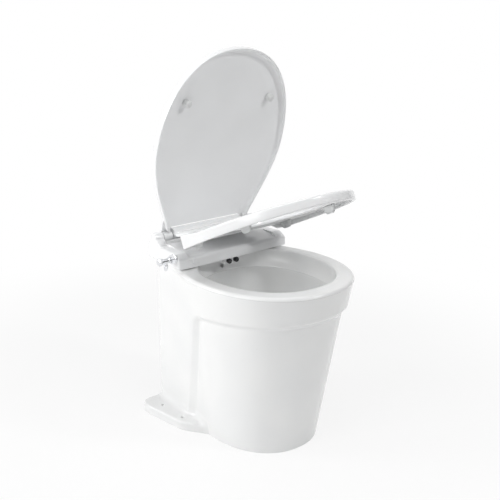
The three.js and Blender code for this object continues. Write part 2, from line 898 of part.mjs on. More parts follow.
function impeller() {
  const disc = pipe(impellerRadius, shaftRadius + gap, pumpCentre(impellerY + impellerWidth - bladeThickness),
    along.y, bladeThickness);
  const hub = pipe(impellerHub, shaftRadius + gap, pumpCentre(impellerY), along.y, impellerWidth);
  let wheel = joined(disc, hub);
  for (let i = 0; i < impellerVanes; i += 1) {
    const vane = new THREE.BoxGeometry(impellerRadius - impellerHub, impellerWidth, vaneThickness);
    vane.translate((impellerRadius + impellerHub) / 2 - gap, 0, impellerHub / 2);
    vane.rotateY((i / impellerVanes) * 2 * Math.PI);
    vane.translate(0, impellerY + impellerWidth / 2, pumpAxisHeight);
    wheel = joined(wheel, solidOf(vane));
  }
  return wheel;
}
add('impeller', impeller(), black);

function chopperBlade() {
  const bar = block(bladeLength, bladeThickness, bladeWidth, 0, bladeY + bladeThickness / 2, pumpAxisHeight);
  const boss = rod(bladeWidth, pumpCentre(bladeY), along.y, bladeThickness);
  const hole = rod(shaftRadius + gap, pumpCentre(bladeY - overrun), along.y, bladeThickness + 2 * overrun,
    smallSides);
  return cutBy(joined(bar, boss), hole);
}
add('chopper_blade', chopperBlade(), steel);

const motorFrontY = pumpRearY + gap;
const motorRearY = motorFrontY + motorLength;
function motorBody() {
  const can = rod(motorRadius, pumpCentre(motorFrontY), along.y, motorLength);
  const flange = rod(motorFlangeRadius, pumpCentre(motorFrontY), along.y, motorFlange);
  const bore = rod(shaftRadius + runningClearance, pumpCentre(motorFrontY - overrun), along.y,
    shaftBehind + 2 * overrun, smallSides);
  return cutBy(joined(can, flange), bore);
}
add('motor_body', motorBody(), paint);

function motorEndCap() {
  const startY = motorRearY + gap;
  const cap = turned(
    [[0, 0], [motorRadius, 0], [motorRadius, endCapLength / 2],
      [motorRadius - endCapLength / 3, endCapLength], [0, endCapLength]],
    pumpCentre(startY),
    along.y,
  );
  const vents = Array.from({ length: endCapVents }, (_, i) => {
    const turn = (i / endCapVents) * 2 * Math.PI;
    const reach = motorRadius * ventCircleShare;
    return rod(motorRadius / 8, at(reach * Math.cos(turn), startY + endCapLength / 3,
      pumpAxisHeight + reach * Math.sin(turn)), along.y, endCapLength + overrun, boltSides);
  });
  return cutBy(cap, ...vents);
}
add('motor_end_cap', motorEndCap(), black);

// Motor bracket: a bent strap under the motor, on two rubber pads that stand on the floor
const bracketY = motorFrontY + bracketSetback;
function motorBracket() {
  const inner = motorRadius + gap;
  const outer = inner + bracketThickness;
  const footTop = bracketPad + gap + bracketThickness;
  const cradle = cutBy(
    pipe(outer, inner, pumpCentre(bracketY), along.y, bracketWidth),
    block(3 * outer, 3 * bracketWidth, outer, 0, bracketY, pumpAxisHeight + outer / 2),
  );
  const legs = [-1, 1].map((side) => block(
    bracketThickness,
    bracketWidth,
    pumpAxisHeight - footTop + bracketThickness,
    side * (inner + bracketThickness / 2),
    bracketY + bracketWidth / 2,
    (pumpAxisHeight + footTop - bracketThickness) / 2,
  ));
  const feet = block(
    2 * bracketHalfFoot,
    bracketWidth,
    bracketThickness,
    0,
    bracketY + bracketWidth / 2,
    footTop - bracketThickness / 2,
  );
  return joined(cradle, ...legs, feet);
}
add('motor_bracket', motorBracket(), steel);
for (const [side, label] of [[-1, 'left'], [1, 'right']]) {
  add(`bracket_pad_${label}`, block(
    2 * bracketPadHalf,
    bracketWidth,
    bracketPad,
    side * (bracketHalfFoot - bracketPadHalf),
    bracketY + bracketWidth / 2,
    bracketPad / 2,
  ), darkRubber);
}

for (const [i, [x, z]] of screwPlaces.entries()) {
  add(`cover_screw_${i + 1}`, turned(
    [[0, 0], [2 * coverScrewRadius, 0], [2 * coverScrewRadius, coverScrewRadius],
      [coverScrewRadius, coverScrewRadius], [coverScrewRadius, coverScrewRadius + 2 * coverThickness],
      [0, coverScrewRadius + 2 * coverThickness]],
    at(x, coverFrontY - gap - coverScrewRadius, z),
    along.y,
    smallSides,
  ), steel);
}

// Discharge: an elbow from the volute turns rearward into the non-return valve and its hose spigot
function dischargeElbow() {
  const outer = dischargeRadius + dischargeWall;
  const bore = dischargeRadius - dischargeWall;
  const corner = at(dischargeSide, dischargeY, dischargeHeight);
  const inlet = rod(outer, at(dischargeSide - dischargeRadius - dischargeWall, dischargeY, dischargeHeight),
    along.x, 2 * outer);
  const run = ahead(valveFrontDepth) - gap - (dischargeY - outer);
  const outlet = rod(outer, at(dischargeSide, dischargeY - outer, dischargeHeight), along.y, run);
  const inletBoreRod = rod(bore, at(0, dischargeY, dischargeHeight), along.x, dischargeSide);
  const outletBore = rod(bore, corner, along.y, run);
  const saddle = rod(pumpRadius + gap, pumpCentre(pumpFrontY - overrun), along.y, pumpLength + overrun + gap);
  return cutBy(joined(inlet, outlet), inletBoreRod, outletBore, saddle);
}
add('discharge_elbow', dischargeElbow(), grey);

const valveFrontY = ahead(valveFrontDepth);
add('discharge_valve', turned(
  [[dischargeRadius - dischargeWall, 0], [valveRadius, 0], [valveRadius, valveLength],
    [dischargeRadius, valveLength], [dischargeRadius - dischargeWall, valveLength],
    [dischargeRadius - dischargeWall, 0]],
  at(dischargeSide, valveFrontY, dischargeHeight),
  along.y,
), black);

function dischargeSpigot() {
  const bore = dischargeRadius - dischargeWall;
  const profile = [[bore, 0], [dischargeRadius, 0]];
  const step = spigotLength / spigotRings;
  for (let i = 0; i < spigotRings; i += 1) {
    profile.push([dischargeRadius, (i + 1 / 2) * step]);
    profile.push([dischargeRadius + spigotRingHeight, (i + 1 / 2) * step + gap]);
    profile.push([dischargeRadius, (i + 1) * step]);
  }
  profile.push([bore, spigotLength], [bore, 0]);
  return turned(profile, at(dischargeSide, valveFrontY + valveLength + gap, dischargeHeight), along.y,
    smallSides);
}
add('discharge_spigot', dischargeSpigot(), black);

// Rinse: a solenoid valve in the column feeds the rinse nozzle at the back of the bowl by a hose
const solenoidY = ahead(solenoidDepth);
function solenoidValve() {
  const body = block(solenoidWidth, solenoidLength, solenoidTall, -solenoidSide, solenoidY, solenoidHeight);
  const inlet = pipe(rinseTubeRadius, rinseTubeBore, at(-solenoidSide, solenoidY + solenoidLength / 2 - gap,
    solenoidHeight), along.y, solenoidLength / 2, smallSides);
  return joined(body, inlet);
}
add('solenoid_valve', solenoidValve(), black);
const coilBottom = solenoidHeight - solenoidTall / 2 - gap - coilNeck - coilHeight;
add('solenoid_coil', turned(
  [[0, 0], [coilRadius, 0], [coilRadius, coilHeight], [coilRadius / 2, coilHeight],
    [coilRadius / 2, coilHeight + coilNeck], [0, coilHeight + coilNeck]],
  at(-solenoidSide, solenoidY + solenoidLength / 4, coilBottom),
  along.z,
), steel);

const nozzleMouthY = ahead(bowlRearDepth - ledgeInset / 2);
const nozzleBackY = nozzleMouthY + rinseNozzleReach;
const rinseCentre = (y) => at(0, y, rinseNozzleHeight);
function rinseNozzle() {
  const wallBack = ahead(bowlRearDepth - ceramicWall) + gap * 2;
  const stem = rod(rinseNozzleRadius, rinseCentre(nozzleMouthY), along.y, rinseNozzleReach, smallSides);
  const collar = rod(rinseFlangeRadius, rinseCentre(wallBack), along.y, rinseFlangeThickness, smallSides);
  const bore = rod(rinseTubeBore, rinseCentre(nozzleMouthY - overrun), along.y,
    rinseNozzleReach + 2 * overrun, smallSides);
  return cutBy(joined(stem, collar), bore);
}
add('rinse_nozzle', rinseNozzle(), grey);

function rinseHose() {
  const start = at(-solenoidSide, solenoidY - solenoidLength / 4, solenoidHeight + solenoidTall / 2 + gap);
  const end = rinseCentre(nozzleBackY + gap);
  const rise = end.z - start.z;
  const route = new THREE.CubicBezierCurve3(
    start,
    start.clone().add(at(0, 0, rise * hoseLiftShare)),
    end.clone().add(at(0, hoseSwing, 0)),
    end,
  );
  const section = new THREE.Shape().absarc(0, 0, rinseTubeRadius, 0, 2 * Math.PI, false);
  section.holes.push(new THREE.Path().absarc(0, 0, rinseTubeBore, 0, 2 * Math.PI, true));
  return solidOf(new THREE.ExtrudeGeometry(section, { extrudePath: route, steps: 14, curveSegments: 4 }));
}
add('rinse_hose', rinseHose(), black);

// Hinge base: a hollow slim body on the rim's deck, with an ear at each end for the hinge pins

const baseTop = baseBottom + baseFrontHeight;
const slopeEnd = hingeHeight - baseNotchDepth + baseSlopeRise;
const notchFloor = hingeHeight - baseNotchDepth;

function baseProfile(inset, lower) {
  const notchFront = hingeDepth + baseNotchDepth;
  return [
    [ahead(baseFrontDepth - inset), lower],
    [ahead(baseFrontDepth - inset), baseTop - baseWall - inset],
    [ahead(baseFrontDepth - baseWall - inset), baseTop - inset],
    [ahead(notchFront + baseNotchDepth - inset), slopeEnd - inset],
    [ahead(notchFront + inset / 2), notchFloor - inset],
    [ahead(baseRearDepth + baseWall + inset), notchFloor - inset],
    [ahead(baseRearDepth + inset), notchFloor - baseWall - inset],
    [ahead(baseRearDepth + inset), lower],
  ];
}

function earProfile(inset) {
  const earTop = baseBottom + baseEarHeight - inset;
  const boss = earBossRadius - inset;
  const points = [
    [ahead(baseFrontDepth - inset), baseBottom + inset],
    [ahead(baseFrontDepth - inset), baseTop - baseWall - inset],
    [ahead(baseFrontDepth - baseWall - inset), baseTop - inset],
    [ahead(baseFrontDepth - baseEarHeight / 3 - inset), earTop],
    [ahead(hingeDepth + 2 * earBossRadius), earTop],
  ];
  const bossSteps = 6;
  for (let i = 0; i <= bossSteps; i += 1) {
    const turn = (i / bossSteps) * Math.PI;
    points.push([ahead(hingeDepth + boss * Math.cos(turn)), hingeHeight + boss * Math.sin(turn)]);
  }
  points.push([ahead(baseRearDepth + inset), earTop - baseWall]);
  points.push([ahead(baseRearDepth + inset), baseBottom + inset]);
  return points;
}

// The ear's end face draws in towards the rear, as the ceramic under it does.
function baseEndAt(depth) {
  return mix(baseRearHalfWidth, baseHalfWidth, (depth - baseRearDepth) / (baseFrontDepth - baseRearDepth));
}

function ear(side) {
  const inner = earProfile(0).map(([y, z]) => at(side * earInner, y, z));
  const outer = (fromEnd, inset) => earProfile(inset).map(([y, z]) => {
    return at(side * (baseEndAt(rearY - y) - fromEnd), y, z);
  });
  return skinned([inner, outer(baseWall, 0), outer(baseWall / 4, baseWall / 3), outer(0, baseWall)]);
}

function hingeBase() {
  const shell = pushedAlongX(baseProfile(0, baseBottom), -earInner - gap, earInner + gap);
  const innerEnd = earInner - baseWall;
  const inside = pushedAlongX(baseProfile(baseWall, baseBottom - overrun), -innerEnd, innerEnd);
  const pinHoles = [-1, 1].map((side) => rod(
    pinRadius + runningClearance,
    at(side > 0 ? knuckleOuter : -pinEnd - gap, hingeY, hingeHeight),
    along.x,
    pinEnd + gap - knuckleOuter,
    smallSides,
  ));
  const boltBoss = [-1, 1].map((side) => rod(
    deckBoltHeadRadius,
    at(side * deckHoleSide, ahead(deckHoleDepth), baseBottom + basePlate + gap),
    along.z,
    notchFloor - baseWall - baseBottom - basePlate,
    smallSides,
  ));
  const boltWells = [-1, 1].map((side) => rod(
    deckBoltRadius + gap,
    at(side * deckHoleSide, ahead(deckHoleDepth), baseBottom - overrun),
    along.z,
    baseFrontHeight + overrun,
    smallSides,
  ));
  return cutBy(joined(cutBy(shell, inside), ear(-1), ear(1), ...boltBoss), ...pinHoles, ...boltWells);
}
add('hinge_base', hingeBase(), plastic);

function basePlateSolid() {
  const inner = baseWall + gap;
  const plate = block(
    2 * (earInner - inner),
    baseFrontDepth - baseRearDepth - 2 * inner,
    basePlate,
    0,
    ahead((baseFrontDepth + baseRearDepth) / 2),
    baseBottom + basePlate / 2,
  );
  const holes = [-1, 1].map((side) => rod(
    deckHoleRadius,
    at(side * deckHoleSide, ahead(deckHoleDepth), baseBottom - overrun),
    along.z,
    2 * overrun + basePlate,
    smallSides,
  ));
  return cutBy(plate, ...holes);
}
add('base_plate', basePlateSolid(), plastic);

const padPlaces = [
  ['front_left', -1, baseFrontDepth - 2 * padRadius], ['front_right', 1, baseFrontDepth - 2 * padRadius],
  ['rear_left', -1, baseRearDepth + 2 * padRadius], ['rear_right', 1, baseRearDepth + 2 * padRadius],
];
for (const [label, side, depth] of padPlaces) {
  const padSide = depth > hingeDepth ? earInner + padRadius / 2 : rearHalfWidth - 2 * padRadius;
  add(`base_pad_${label}`, rod(padRadius, at(side * padSide, ahead(depth), rimHeight + gap), along.z,
    padThickness, smallSides), rubber);
}

add('front_plug', turned(
  [[0, 0], [plugRadius, 0], [plugRadius, plugProud / 2], [plugRadius - plugProud, plugProud], [0, plugProud]],
  at(-plugSide, ahead(baseFrontDepth) - gap, baseBottom + plugRise),
  at(0, -1, 0),
  roundSides,
), plastic);

// Bolts that hold the base down on the rim's deck, with a washer and a nut under the ceramic
const deckUnder = rimHeight - rimSlab;
for (const [side, label] of [[-1, 'left'], [1, 'right']]) {
  const boltX = side * deckHoleSide;
  const boltY = ahead(deckHoleDepth);
  const washerBottom = deckUnder - gap - deckWasherThickness;
  const nutBottom = washerBottom - gap - deckNutThickness;
  add(`deck_washer_${label}`, pipe(deckWasherRadius, deckBoltRadius + gap, at(boltX, boltY, washerBottom),
    along.z, deckWasherThickness, smallSides), darkRubber);
  add(`deck_nut_${label}`, cutBy(
    rod(deckNutRadius, at(boltX, boltY, nutBottom), along.z, deckNutThickness, nutSides),
    rod(deckBoltRadius + gap, at(boltX, boltY, nutBottom - overrun), along.z, deckNutThickness + 2 * overrun,
      smallSides),
  ), plastic);
  const boltEnd = at(boltX, boltY, nutBottom - 2 * deckWasherThickness);
  add(`deck_bolt_${label}`, rod(deckBoltRadius, boltEnd, along.z, deckBoltLength, smallSides), steel);
}

// Hinge pins, held in the ears, through the lid's knuckles into the dampers in the seat's barrel
const damperOuterX = seatBarrelHalf - 2 * gap;
for (const [side, label] of [[-1, 'left'], [1, 'right']]) {
  const start = damperOuterX - pinInDamper;
  const from = side > 0 ? start : -pinEnd;
  add(`hinge_pin_${label}`, rod(pinRadius, at(from, hingeY, hingeHeight), along.x, pinEnd - start,
    smallSides), steel);
}

// Water inlet: a threaded collar, a tee body with a hose branch and a closed cap
const inletAt = (x) => at(x, ahead(inletDepth), inletHeight);
const collarEnd = baseEndAt(inletDepth + inletCollarRadius) + gap + inletCollarLength;
const bodyEnd = collarEnd + gap + inletBodyLength;
const collar = rod(inletCollarRadius, inletAt(-collarEnd), along.x, inletCollarLength, boltSides);
add('inlet_collar', collar, chrome);
function inletTee() {
  const run = rod(inletBodyRadius, inletAt(-bodyEnd), along.x, inletBodyLength, smallSides);
  const root = at(-bodyEnd + inletBodyLength / 2, ahead(inletDepth), inletHeight);
  const branch = rod(inletBranchRadius, root, at(0, 0, -1), inletBodyRadius + inletBranchLength, smallSides);
  const bore = rod(inletBore, root, at(0, 0, -1), inletBodyRadius + inletBranchLength + overrun, smallSides);
  return cutBy(joined(run, branch), bore);
}
add('inlet_tee', inletTee(), chrome);
add('inlet_cap', turned(
  [[0, 0], [inletCapRadius, 0], [inletCapRadius, inletCapLength - inletCapLength / 4],
    [inletCapRadius - inletCapLength / 4, inletCapLength], [0, inletCapLength]],
  inletAt(-bodyEnd - gap),
  at(-1, 0, 0),
  boltSides,
), chrome);

// Two bidet nozzles in a guard that hangs from the base plate over the rear of the bowl
const guardTop = baseBottom - gap;
function nozzleGuard() {
  const body = block(2 * guardHalfWidth, guardLength, guardHeight, 0, ahead(guardDepth + guardLength / 2),
    guardTop - guardHeight / 2);
  const holes = [-1, 1].map((side) => rod(nozzleRadius + gap,
    nozzlePoint(side, -overrun), nozzleDirection, nozzleLength + 2 * overrun, smallSides));
  return cutBy(body, ...holes);
}
const nozzleTilt = THREE.MathUtils.degToRad(nozzleTiltDegrees);
const nozzleDirection = at(0, Math.cos(nozzleTilt), Math.sin(nozzleTilt));
function nozzlePoint(side, run) {
  const mouth = at(side * nozzleSide, ahead(nozzleDepth), baseBottom - nozzleDrop);
  return mouth.add(nozzleDirection.clone().multiplyScalar(run));
}
add('nozzle_guard', nozzleGuard(), plastic);
for (const [side, label] of [[-1, 'left'], [1, 'right']]) {
  const tube = rod(nozzleRadius, nozzlePoint(side, 0), nozzleDirection, nozzleLength, smallSides);
  const jet = rod(nozzleBore, nozzlePoint(side, nozzleLength / 4), at(0, 0, 1),
    nozzleRadius * 2, smallSides);
  add(`nozzle_${label}`, cutBy(tube, jet), black);
}

// Seat, drawn closed about the hinge line: x across, y to the rear and z up from the line

// The seat's plan: a round front, drawn-in sides and a straight rear, as [x, run] points.
function seatPlan(half, length, widest, rearHalf, rear, corner) {
  const right = [];
  for (let i = 0; i <= frontSteps; i += 1) {
    const turn = (i / frontSteps) * (Math.PI / 2);
    right.push([
      half * Math.sin(turn) ** (2 / outlinePower),
      widest + (length - widest) * Math.cos(turn) ** (2 / outlinePower),
    ]);
  }
  const side = new THREE.CubicBezierCurve(
    new THREE.Vector2(half, widest),
    new THREE.Vector2(half, mix(widest, rear, 1 / 3)),
    new THREE.Vector2(mix(half, rearHalf, 2 / 3), mix(widest, rear, 2 / 3)),
    new THREE.Vector2(rearHalf, rear + corner),
  );
  for (let i = 1; i <= sideSteps; i += 1) {
    const point = side.getPoint(i / sideSteps);
    right.push([point.x, point.y]);
  }
  for (let i = 1; i <= cornerSteps; i += 1) {
    const turn = (i / cornerSteps) * (Math.PI / 2);
    right.push([rearHalf - corner * (1 - Math.cos(turn)), rear + corner * (1 - Math.sin(turn))]);
  }
  for (let i = 1; i <= rearSteps; i += 1) right.push([(rearHalf - corner) * (1 - i / rearSteps), rear]);
  const left = right.slice(1, -1).map(([x, run]) => [-x, run]).reverse();
  return [...right, ...left];
}

// Heights of the seat's top and underside at a run ahead of the hinge line.
function seatTop(run) {
  const share = THREE.MathUtils.smoothstep(run, seatRear, seatRear + seatTopRun);
  return mix(-seatRearTopDrop, -seatTopDrop, share);
}
function seatUnder(run) {
  return mix(-seatRearUnderDrop, -seatFrontUnderDrop, (run - seatRear) / (seatLength - seatRear));
}

// The ring has a shallower bar at the rear, over the front of the hinge base.
function seatRing() {
  const outer = seatPlan(seatHalfWidth, seatLength, seatWidest, seatRearHalfWidth, seatRear, seatCorner);
  const rings = outer.map(([x, run]) => {
    const turn = Math.atan2(x, run - seatOpeningMid);
    const reach = Math.cos(turn) > 0 ? seatOpeningFront - seatOpeningMid : seatOpeningMid - seatOpeningRear;
    const inner = [seatOpeningHalf * Math.sin(turn), seatOpeningMid + reach * Math.cos(turn)];
    const away = new THREE.Vector2(x - inner[0], run - inner[1]);
    const width = away.length();
    const overBase = run < seatRear + gap && Math.abs(x) < seatBarHalf;
    const under = (v) => (overBase ? -seatBarUnderDrop : seatUnder(v));
    const point = (fromOuter, drop) => {
      const px = mix(x, inner[0], fromOuter / width);
      const pr = mix(run, inner[1], fromOuter / width);
      return at(px, -pr, drop(pr));
    };
    const r = seatEdgeRadius;
    return [
      point(0, (v) => under(v) + r),
      point(0, (v) => seatTop(v) - r),
      point(r / 3, (v) => seatTop(v) - r / 4),
      point(r, (v) => seatTop(v)),
      point(width - 2 * r, (v) => seatTop(v) - r / 4),
      point(width - r / 2, (v) => seatTop(v) - r),
      point(width, (v) => seatTop(v) - 2 * r),
      point(width, (v) => under(v) + r / 2),
      point(width - r / 2, under),
      point(r, under),
    ];
  });
  return skinned(rings, true);
}

// The bridge rises from the ring over the hinge base to the barrel.
function seatBridge() {
  const end = seatRear + 2 * bridgeThickness;
  const side = pushedAlongX([
    [0, bridgeRearTop], [-seatRear, -seatRearTopDrop], [-end, -seatRearTopDrop - gap],
    [-end, -seatRearTopDrop - bridgeThickness], [-seatRear, -seatRearTopDrop - bridgeThickness],
    [0, bridgeRearTop - bridgeThickness - gap],
  ], -bridgeHalfWidth, bridgeHalfWidth);
  const plan = new THREE.Shape(mirrored([
    [0, -end], [bridgeHalfWidth, -end], [bridgeHalfWidth, -bridgeWideRun], [seatBarrelHalf, -bridgeNeckRun],
    [seatBarrelHalf, overrun], [0, overrun],
  ]).map(([x, y]) => new THREE.Vector2(x, y)));
  const mask = new THREE.ExtrudeGeometry(plan, { depth: 4 * barrelRadius, bevelEnabled: false });
  mask.translate(0, 0, -3 * barrelRadius);
  return side.intersect(solidOf(mask));
}

function seat() {
  const barrel = rod(barrelRadius, at(-seatBarrelHalf, 0, 0), along.x, 2 * seatBarrelHalf);
  const bores = [-1, 1].map((side) => {
    const inner = damperOuterX - damperLength - gap;
    return rod(damperRadius + gap, at(side > 0 ? inner : -seatBarrelHalf - overrun, 0, 0), along.x,
      seatBarrelHalf + overrun - inner);
  });
  return cutBy(joined(seatRing(), seatBridge(), barrel), ...bores);
}
add('seat', seat(), plastic, seatGroup);

for (const [side, label] of [[-1, 'left'], [1, 'right']]) {
  const damperX = side > 0 ? damperOuterX - damperLength : -damperOuterX;
  const body = rod(damperRadius, at(damperX, 0, 0), along.x, damperLength);
  const socketX = side > 0 ? damperOuterX - pinInDamper - gap : -damperOuterX - overrun;
  const socket = rod(pinRadius + runningClearance, at(socketX, 0, 0), along.x, pinInDamper + gap + overrun,
    smallSides);
  add(`damper_${label}`, cutBy(body, socket), black, seatGroup);
}

// Rubber buffers under the ring. They stop the closed seat a little above level, so their feet are cut
// along the rim as it lies under the seat in that place.
const stop = new THREE.Matrix4().makeRotationX(THREE.MathUtils.degToRad(seatStopDegrees));
const rimLevel = block(4 * seatHalfWidth, 4 * seatLength, hingeRise, 0, 0, gap - 1.5 * hingeRise);
const rimUnderSeat = moved(rimLevel, stop);
for (const [side, label] of [[-1, 'left'], [1, 'right']]) {
  const places = [['front', frontBumperRun, frontBumperSide], ['rear', rearBumperRun, rearBumperSide]];
  for (const [place, run, x] of places) {
    const bar = new THREE.Shape();
    const [l, r] = [bumperLength / 2 - bumperWidth / 2, bumperWidth / 2];
    bar.absarc(0, l, r, 0, Math.PI, false);
    bar.absarc(0, -l, r, Math.PI, 2 * Math.PI, false);
    const geometry = new THREE.ExtrudeGeometry(bar, {
      depth: hingeRise,
      bevelEnabled: false,
      curveSegments: 4,
    });
    geometry.translate(side * x, -run, seatUnder(run) - gap - hingeRise);
    add(`seat_buffer_${place}_${label}`, cutBy(solidOf(geometry), rimUnderSeat), rubber, seatGroup);
  }
}

// Lid, drawn closed about the same line: a shallow crowned tray with a lip all round

function lidOutline(inset) {
  return seatPlan(lidHalfWidth - inset, lidLength - inset, lidWidest, lidRearHalfWidth - inset,
    lidRearRun + inset, Math.max(lidCorner - inset / 2, lidCorner / 8)).map(([x, run]) => [x, -run]);
}

function lid() {
  const tray = loft([
    { z: -lidLip, outline: lidOutline(0) },
    { z: lidWall - lidCrown / 2, outline: lidOutline(0) },
    { z: lidWall, outline: lidOutline(lidCrown / 2) },
    { z: lidWall + lidCrown / 2, outline: lidOutline(2 * lidLipWall) },
    { z: lidWall + lidCrown, outline: lidOutline(lidCrownInset) },
  ]);
  const inside = loft([
    { z: -lidLip - overrun, outline: lidOutline(lidLipWall) },
    { z: -lidCrown, outline: lidOutline(lidLipWall) },
    { z: -lidCrown / 4, outline: lidOutline(lidLipWall + lidCrown) },
    { z: 0, outline: lidOutline(3 * lidLipWall) },
    { z: lidCrown / 2, outline: lidOutline(lidCrownInset) },
  ]);
  const rearOpen = block(2 * (lidRearHalfWidth - 2 * lidLipWall), 4 * lidLipWall, lidLip + overrun,
    0, -lidRearRun, -(lidLip + overrun) / 2 - gap);
  const tilt = new THREE.Matrix4().makeRotationX(THREE.MathUtils.degToRad(lidTiltDegrees));
  tilt.premultiply(new THREE.Matrix4().makeTranslation(0, 0, lidLift));
  const shell = moved(cutBy(tray, inside, rearOpen), tilt);
  const notch = block(2 * knuckleInner, 2 * lidNotchRun, 4 * lidLip, 0, 0, 0);
  const arms = [-1, 1].map((side) => {
    const [from, to] = side > 0 ? [knuckleInner, knuckleOuter] : [-knuckleOuter, -knuckleInner];
    const arm = pushedAlongX([
      [0, barrelRadius], [0, barrelRadius / 3], [-bridgeNeckRun, lidLift - lidWall / 2],
      [-bridgeWideRun, lidLift - lidWall / 2], [-bridgeWideRun, lidLift + lidWall / 2],
      [-bridgeNeckRun, lidLift + lidWall],
    ], from, to);
    return joined(arm, rod(barrelRadius, at(from, 0, 0), along.x, to - from));
  });
  const bore = rod(pinRadius + runningClearance, at(-knuckleOuter - overrun, 0, 0), along.x,
    2 * (knuckleOuter + overrun), smallSides);
  const barrelRoom = rod(barrelRadius + 2 * gap, at(-knuckleInner, 0, 0), along.x, 2 * knuckleInner);
  return cutBy(joined(cutBy(shell, notch), ...arms), bore, barrelRoom);
}
add('lid', lid(), plastic, lidGroup);

const lidBufferTop = lidLift - Math.sin(THREE.MathUtils.degToRad(lidTiltDegrees)) * lidBumperRun - gap;
for (const [side, label] of [[-1, 'left'], [1, 'right']]) {
  const bottom = -seatTopDrop + gap;
  add(`lid_buffer_${label}`, turned(
    [[0, 0], [lidBumperRadius - lidBufferEdge, 0], [lidBumperRadius, lidBufferEdge],
      [lidBumperRadius, lidBufferTop - bottom],
      [0, lidBufferTop - bottom]],
    at(side * lidBumperSide, -lidBumperRun, bottom),
    along.z,
    smallSides,
  ), rubber, lidGroup);
}

export default toilet;
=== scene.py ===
# %% [markdown]
# # An electric marine toilet, dressed in Blender
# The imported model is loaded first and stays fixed. Every finer piece is made in the same frame, in metres,
# and rides on one of its bodies, so the seat and the lid still turn on their hinge.

# %% The frame
import math

import bmesh
import bpy
import numpy as np
from mathutils import Matrix, Vector


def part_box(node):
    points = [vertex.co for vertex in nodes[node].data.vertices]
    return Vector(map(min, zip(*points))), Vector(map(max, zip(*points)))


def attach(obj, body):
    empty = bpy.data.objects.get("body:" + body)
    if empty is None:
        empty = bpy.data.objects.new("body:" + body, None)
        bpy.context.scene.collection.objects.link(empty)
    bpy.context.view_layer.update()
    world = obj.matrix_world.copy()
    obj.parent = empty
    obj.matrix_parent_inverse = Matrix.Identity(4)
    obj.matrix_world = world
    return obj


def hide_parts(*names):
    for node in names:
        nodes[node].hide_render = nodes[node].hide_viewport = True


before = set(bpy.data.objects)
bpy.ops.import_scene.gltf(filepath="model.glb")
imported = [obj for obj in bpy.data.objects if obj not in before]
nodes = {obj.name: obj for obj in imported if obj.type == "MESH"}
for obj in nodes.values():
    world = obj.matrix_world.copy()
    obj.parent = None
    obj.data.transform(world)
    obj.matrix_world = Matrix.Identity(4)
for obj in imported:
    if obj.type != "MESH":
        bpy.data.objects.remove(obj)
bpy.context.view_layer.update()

# %% [markdown]
# ## The photograph's camera
# A camera is a place, three directions and a lens. They were found by matching the rim, the floor outline
# and the open lid, so they are set here as a matrix and not by hand.

# %% The camera
MM = 0.001
LENS, SENSOR = 53.77, 36.0
CAMERA_PLACE = (-1068.0, -1427.6, 902.7)

camera_data = bpy.data.cameras.new("camera")
camera_data.lens = LENS
camera_data.sensor_width = SENSOR
camera = bpy.data.objects.new("camera", camera_data)
bpy.context.scene.collection.objects.link(camera)
right = Vector((0.7526, -0.6584, 0.0))
forward = Vector((0.6313, 0.7217, -0.2837))
up = right.cross(forward)
turn = Matrix((right, up, -forward)).transposed().to_4x4()
camera.matrix_world = Matrix.Translation(Vector(CAMERA_PLACE) * MM) @ turn
bpy.context.scene.camera = camera
bpy.context.scene.view_settings.view_transform = "Standard"
print("camera looks down by", round(math.degrees(math.asin(-forward.z)), 1), "degrees")

# %% [markdown]
# ## Shader sums in Python
# A finish is a small sum of masks. Written as node calls it is hard to read, so a socket is wrapped in a class
# that knows plus, minus and times, and each expression adds its own Math nodes.

# %% A socket that can be added and multiplied
class Wire:
    """One output socket. Sums and products of wires add Math nodes to the same tree."""

    def __init__(self, graph, socket):
        self.graph = graph
        self.socket = socket

    def _sum(self, operation, *values):
        return self.graph.node("ShaderNodeMath", {"operation": operation}, dict(enumerate(values)))

    def __add__(self, other):
        return self._sum("ADD", self, other)

    def __radd__(self, other):
        return self._sum("ADD", other, self)

    def __sub__(self, other):
        return self._sum("SUBTRACT", self, other)

    def __rsub__(self, other):
        return self._sum("SUBTRACT", other, self)

    def __mul__(self, other):
        return self._sum("MULTIPLY", self, other)

    def __rmul__(self, other):
        return self._sum("MULTIPLY", other, self)

    def larger(self, other):
        return self._sum("MAXIMUM", self, other)

    def ramp(self, low, high):
        """0 below low, 1 above high and smooth between them; low may be above high."""
        return self.graph.node("ShaderNodeMapRange", {"interpolation_type": "SMOOTHSTEP"},
                               {"Value": self, "From Min": low, "From Max": high})


# %% A node tree, and a finish, which is one material
class Graph:
    """A node tree, and one method that adds any node to it."""

    def __init__(self, tree):
        self.tree = tree

    def node(self, kind, settings=None, values=None, output=0):
        node = self.tree.nodes.new(kind)
        for key, value in (settings or {}).items():
            setattr(node, key, value)
        for key, value in (values or {}).items():
            self.join(value, node.inputs[key])
        return Wire(self, node.outputs[output])

    def join(self, value, socket):
        if isinstance(value, Wire):
            self.tree.links.new(value.socket, socket)
        elif isinstance(value, tuple) and len(value) == 3 and socket.type == "RGBA":
            socket.default_value = (*value, 1.0)
        else:
            socket.default_value = value

    def end_in_mix(self, output, share, first, second):
        """Ends the tree in a mix of two shaders; a share of 1 is all the second."""
        mixed = self.node("ShaderNodeMixShader", values={0: share, 1: first, 2: second})
        self.join(mixed, self.tree.nodes[output].inputs["Surface"])

    def sees_white(self):
        """1 for the rays that show the white backdrop: camera, reflection and glass."""
        path = self.tree.nodes.new("ShaderNodeLightPath")
        camera, glossy, glass = [Wire(self, path.outputs[f"Is {kind} Ray"])
                                 for kind in ("Camera", "Glossy", "Transmission")]
        return camera.larger(glossy).larger(glass)


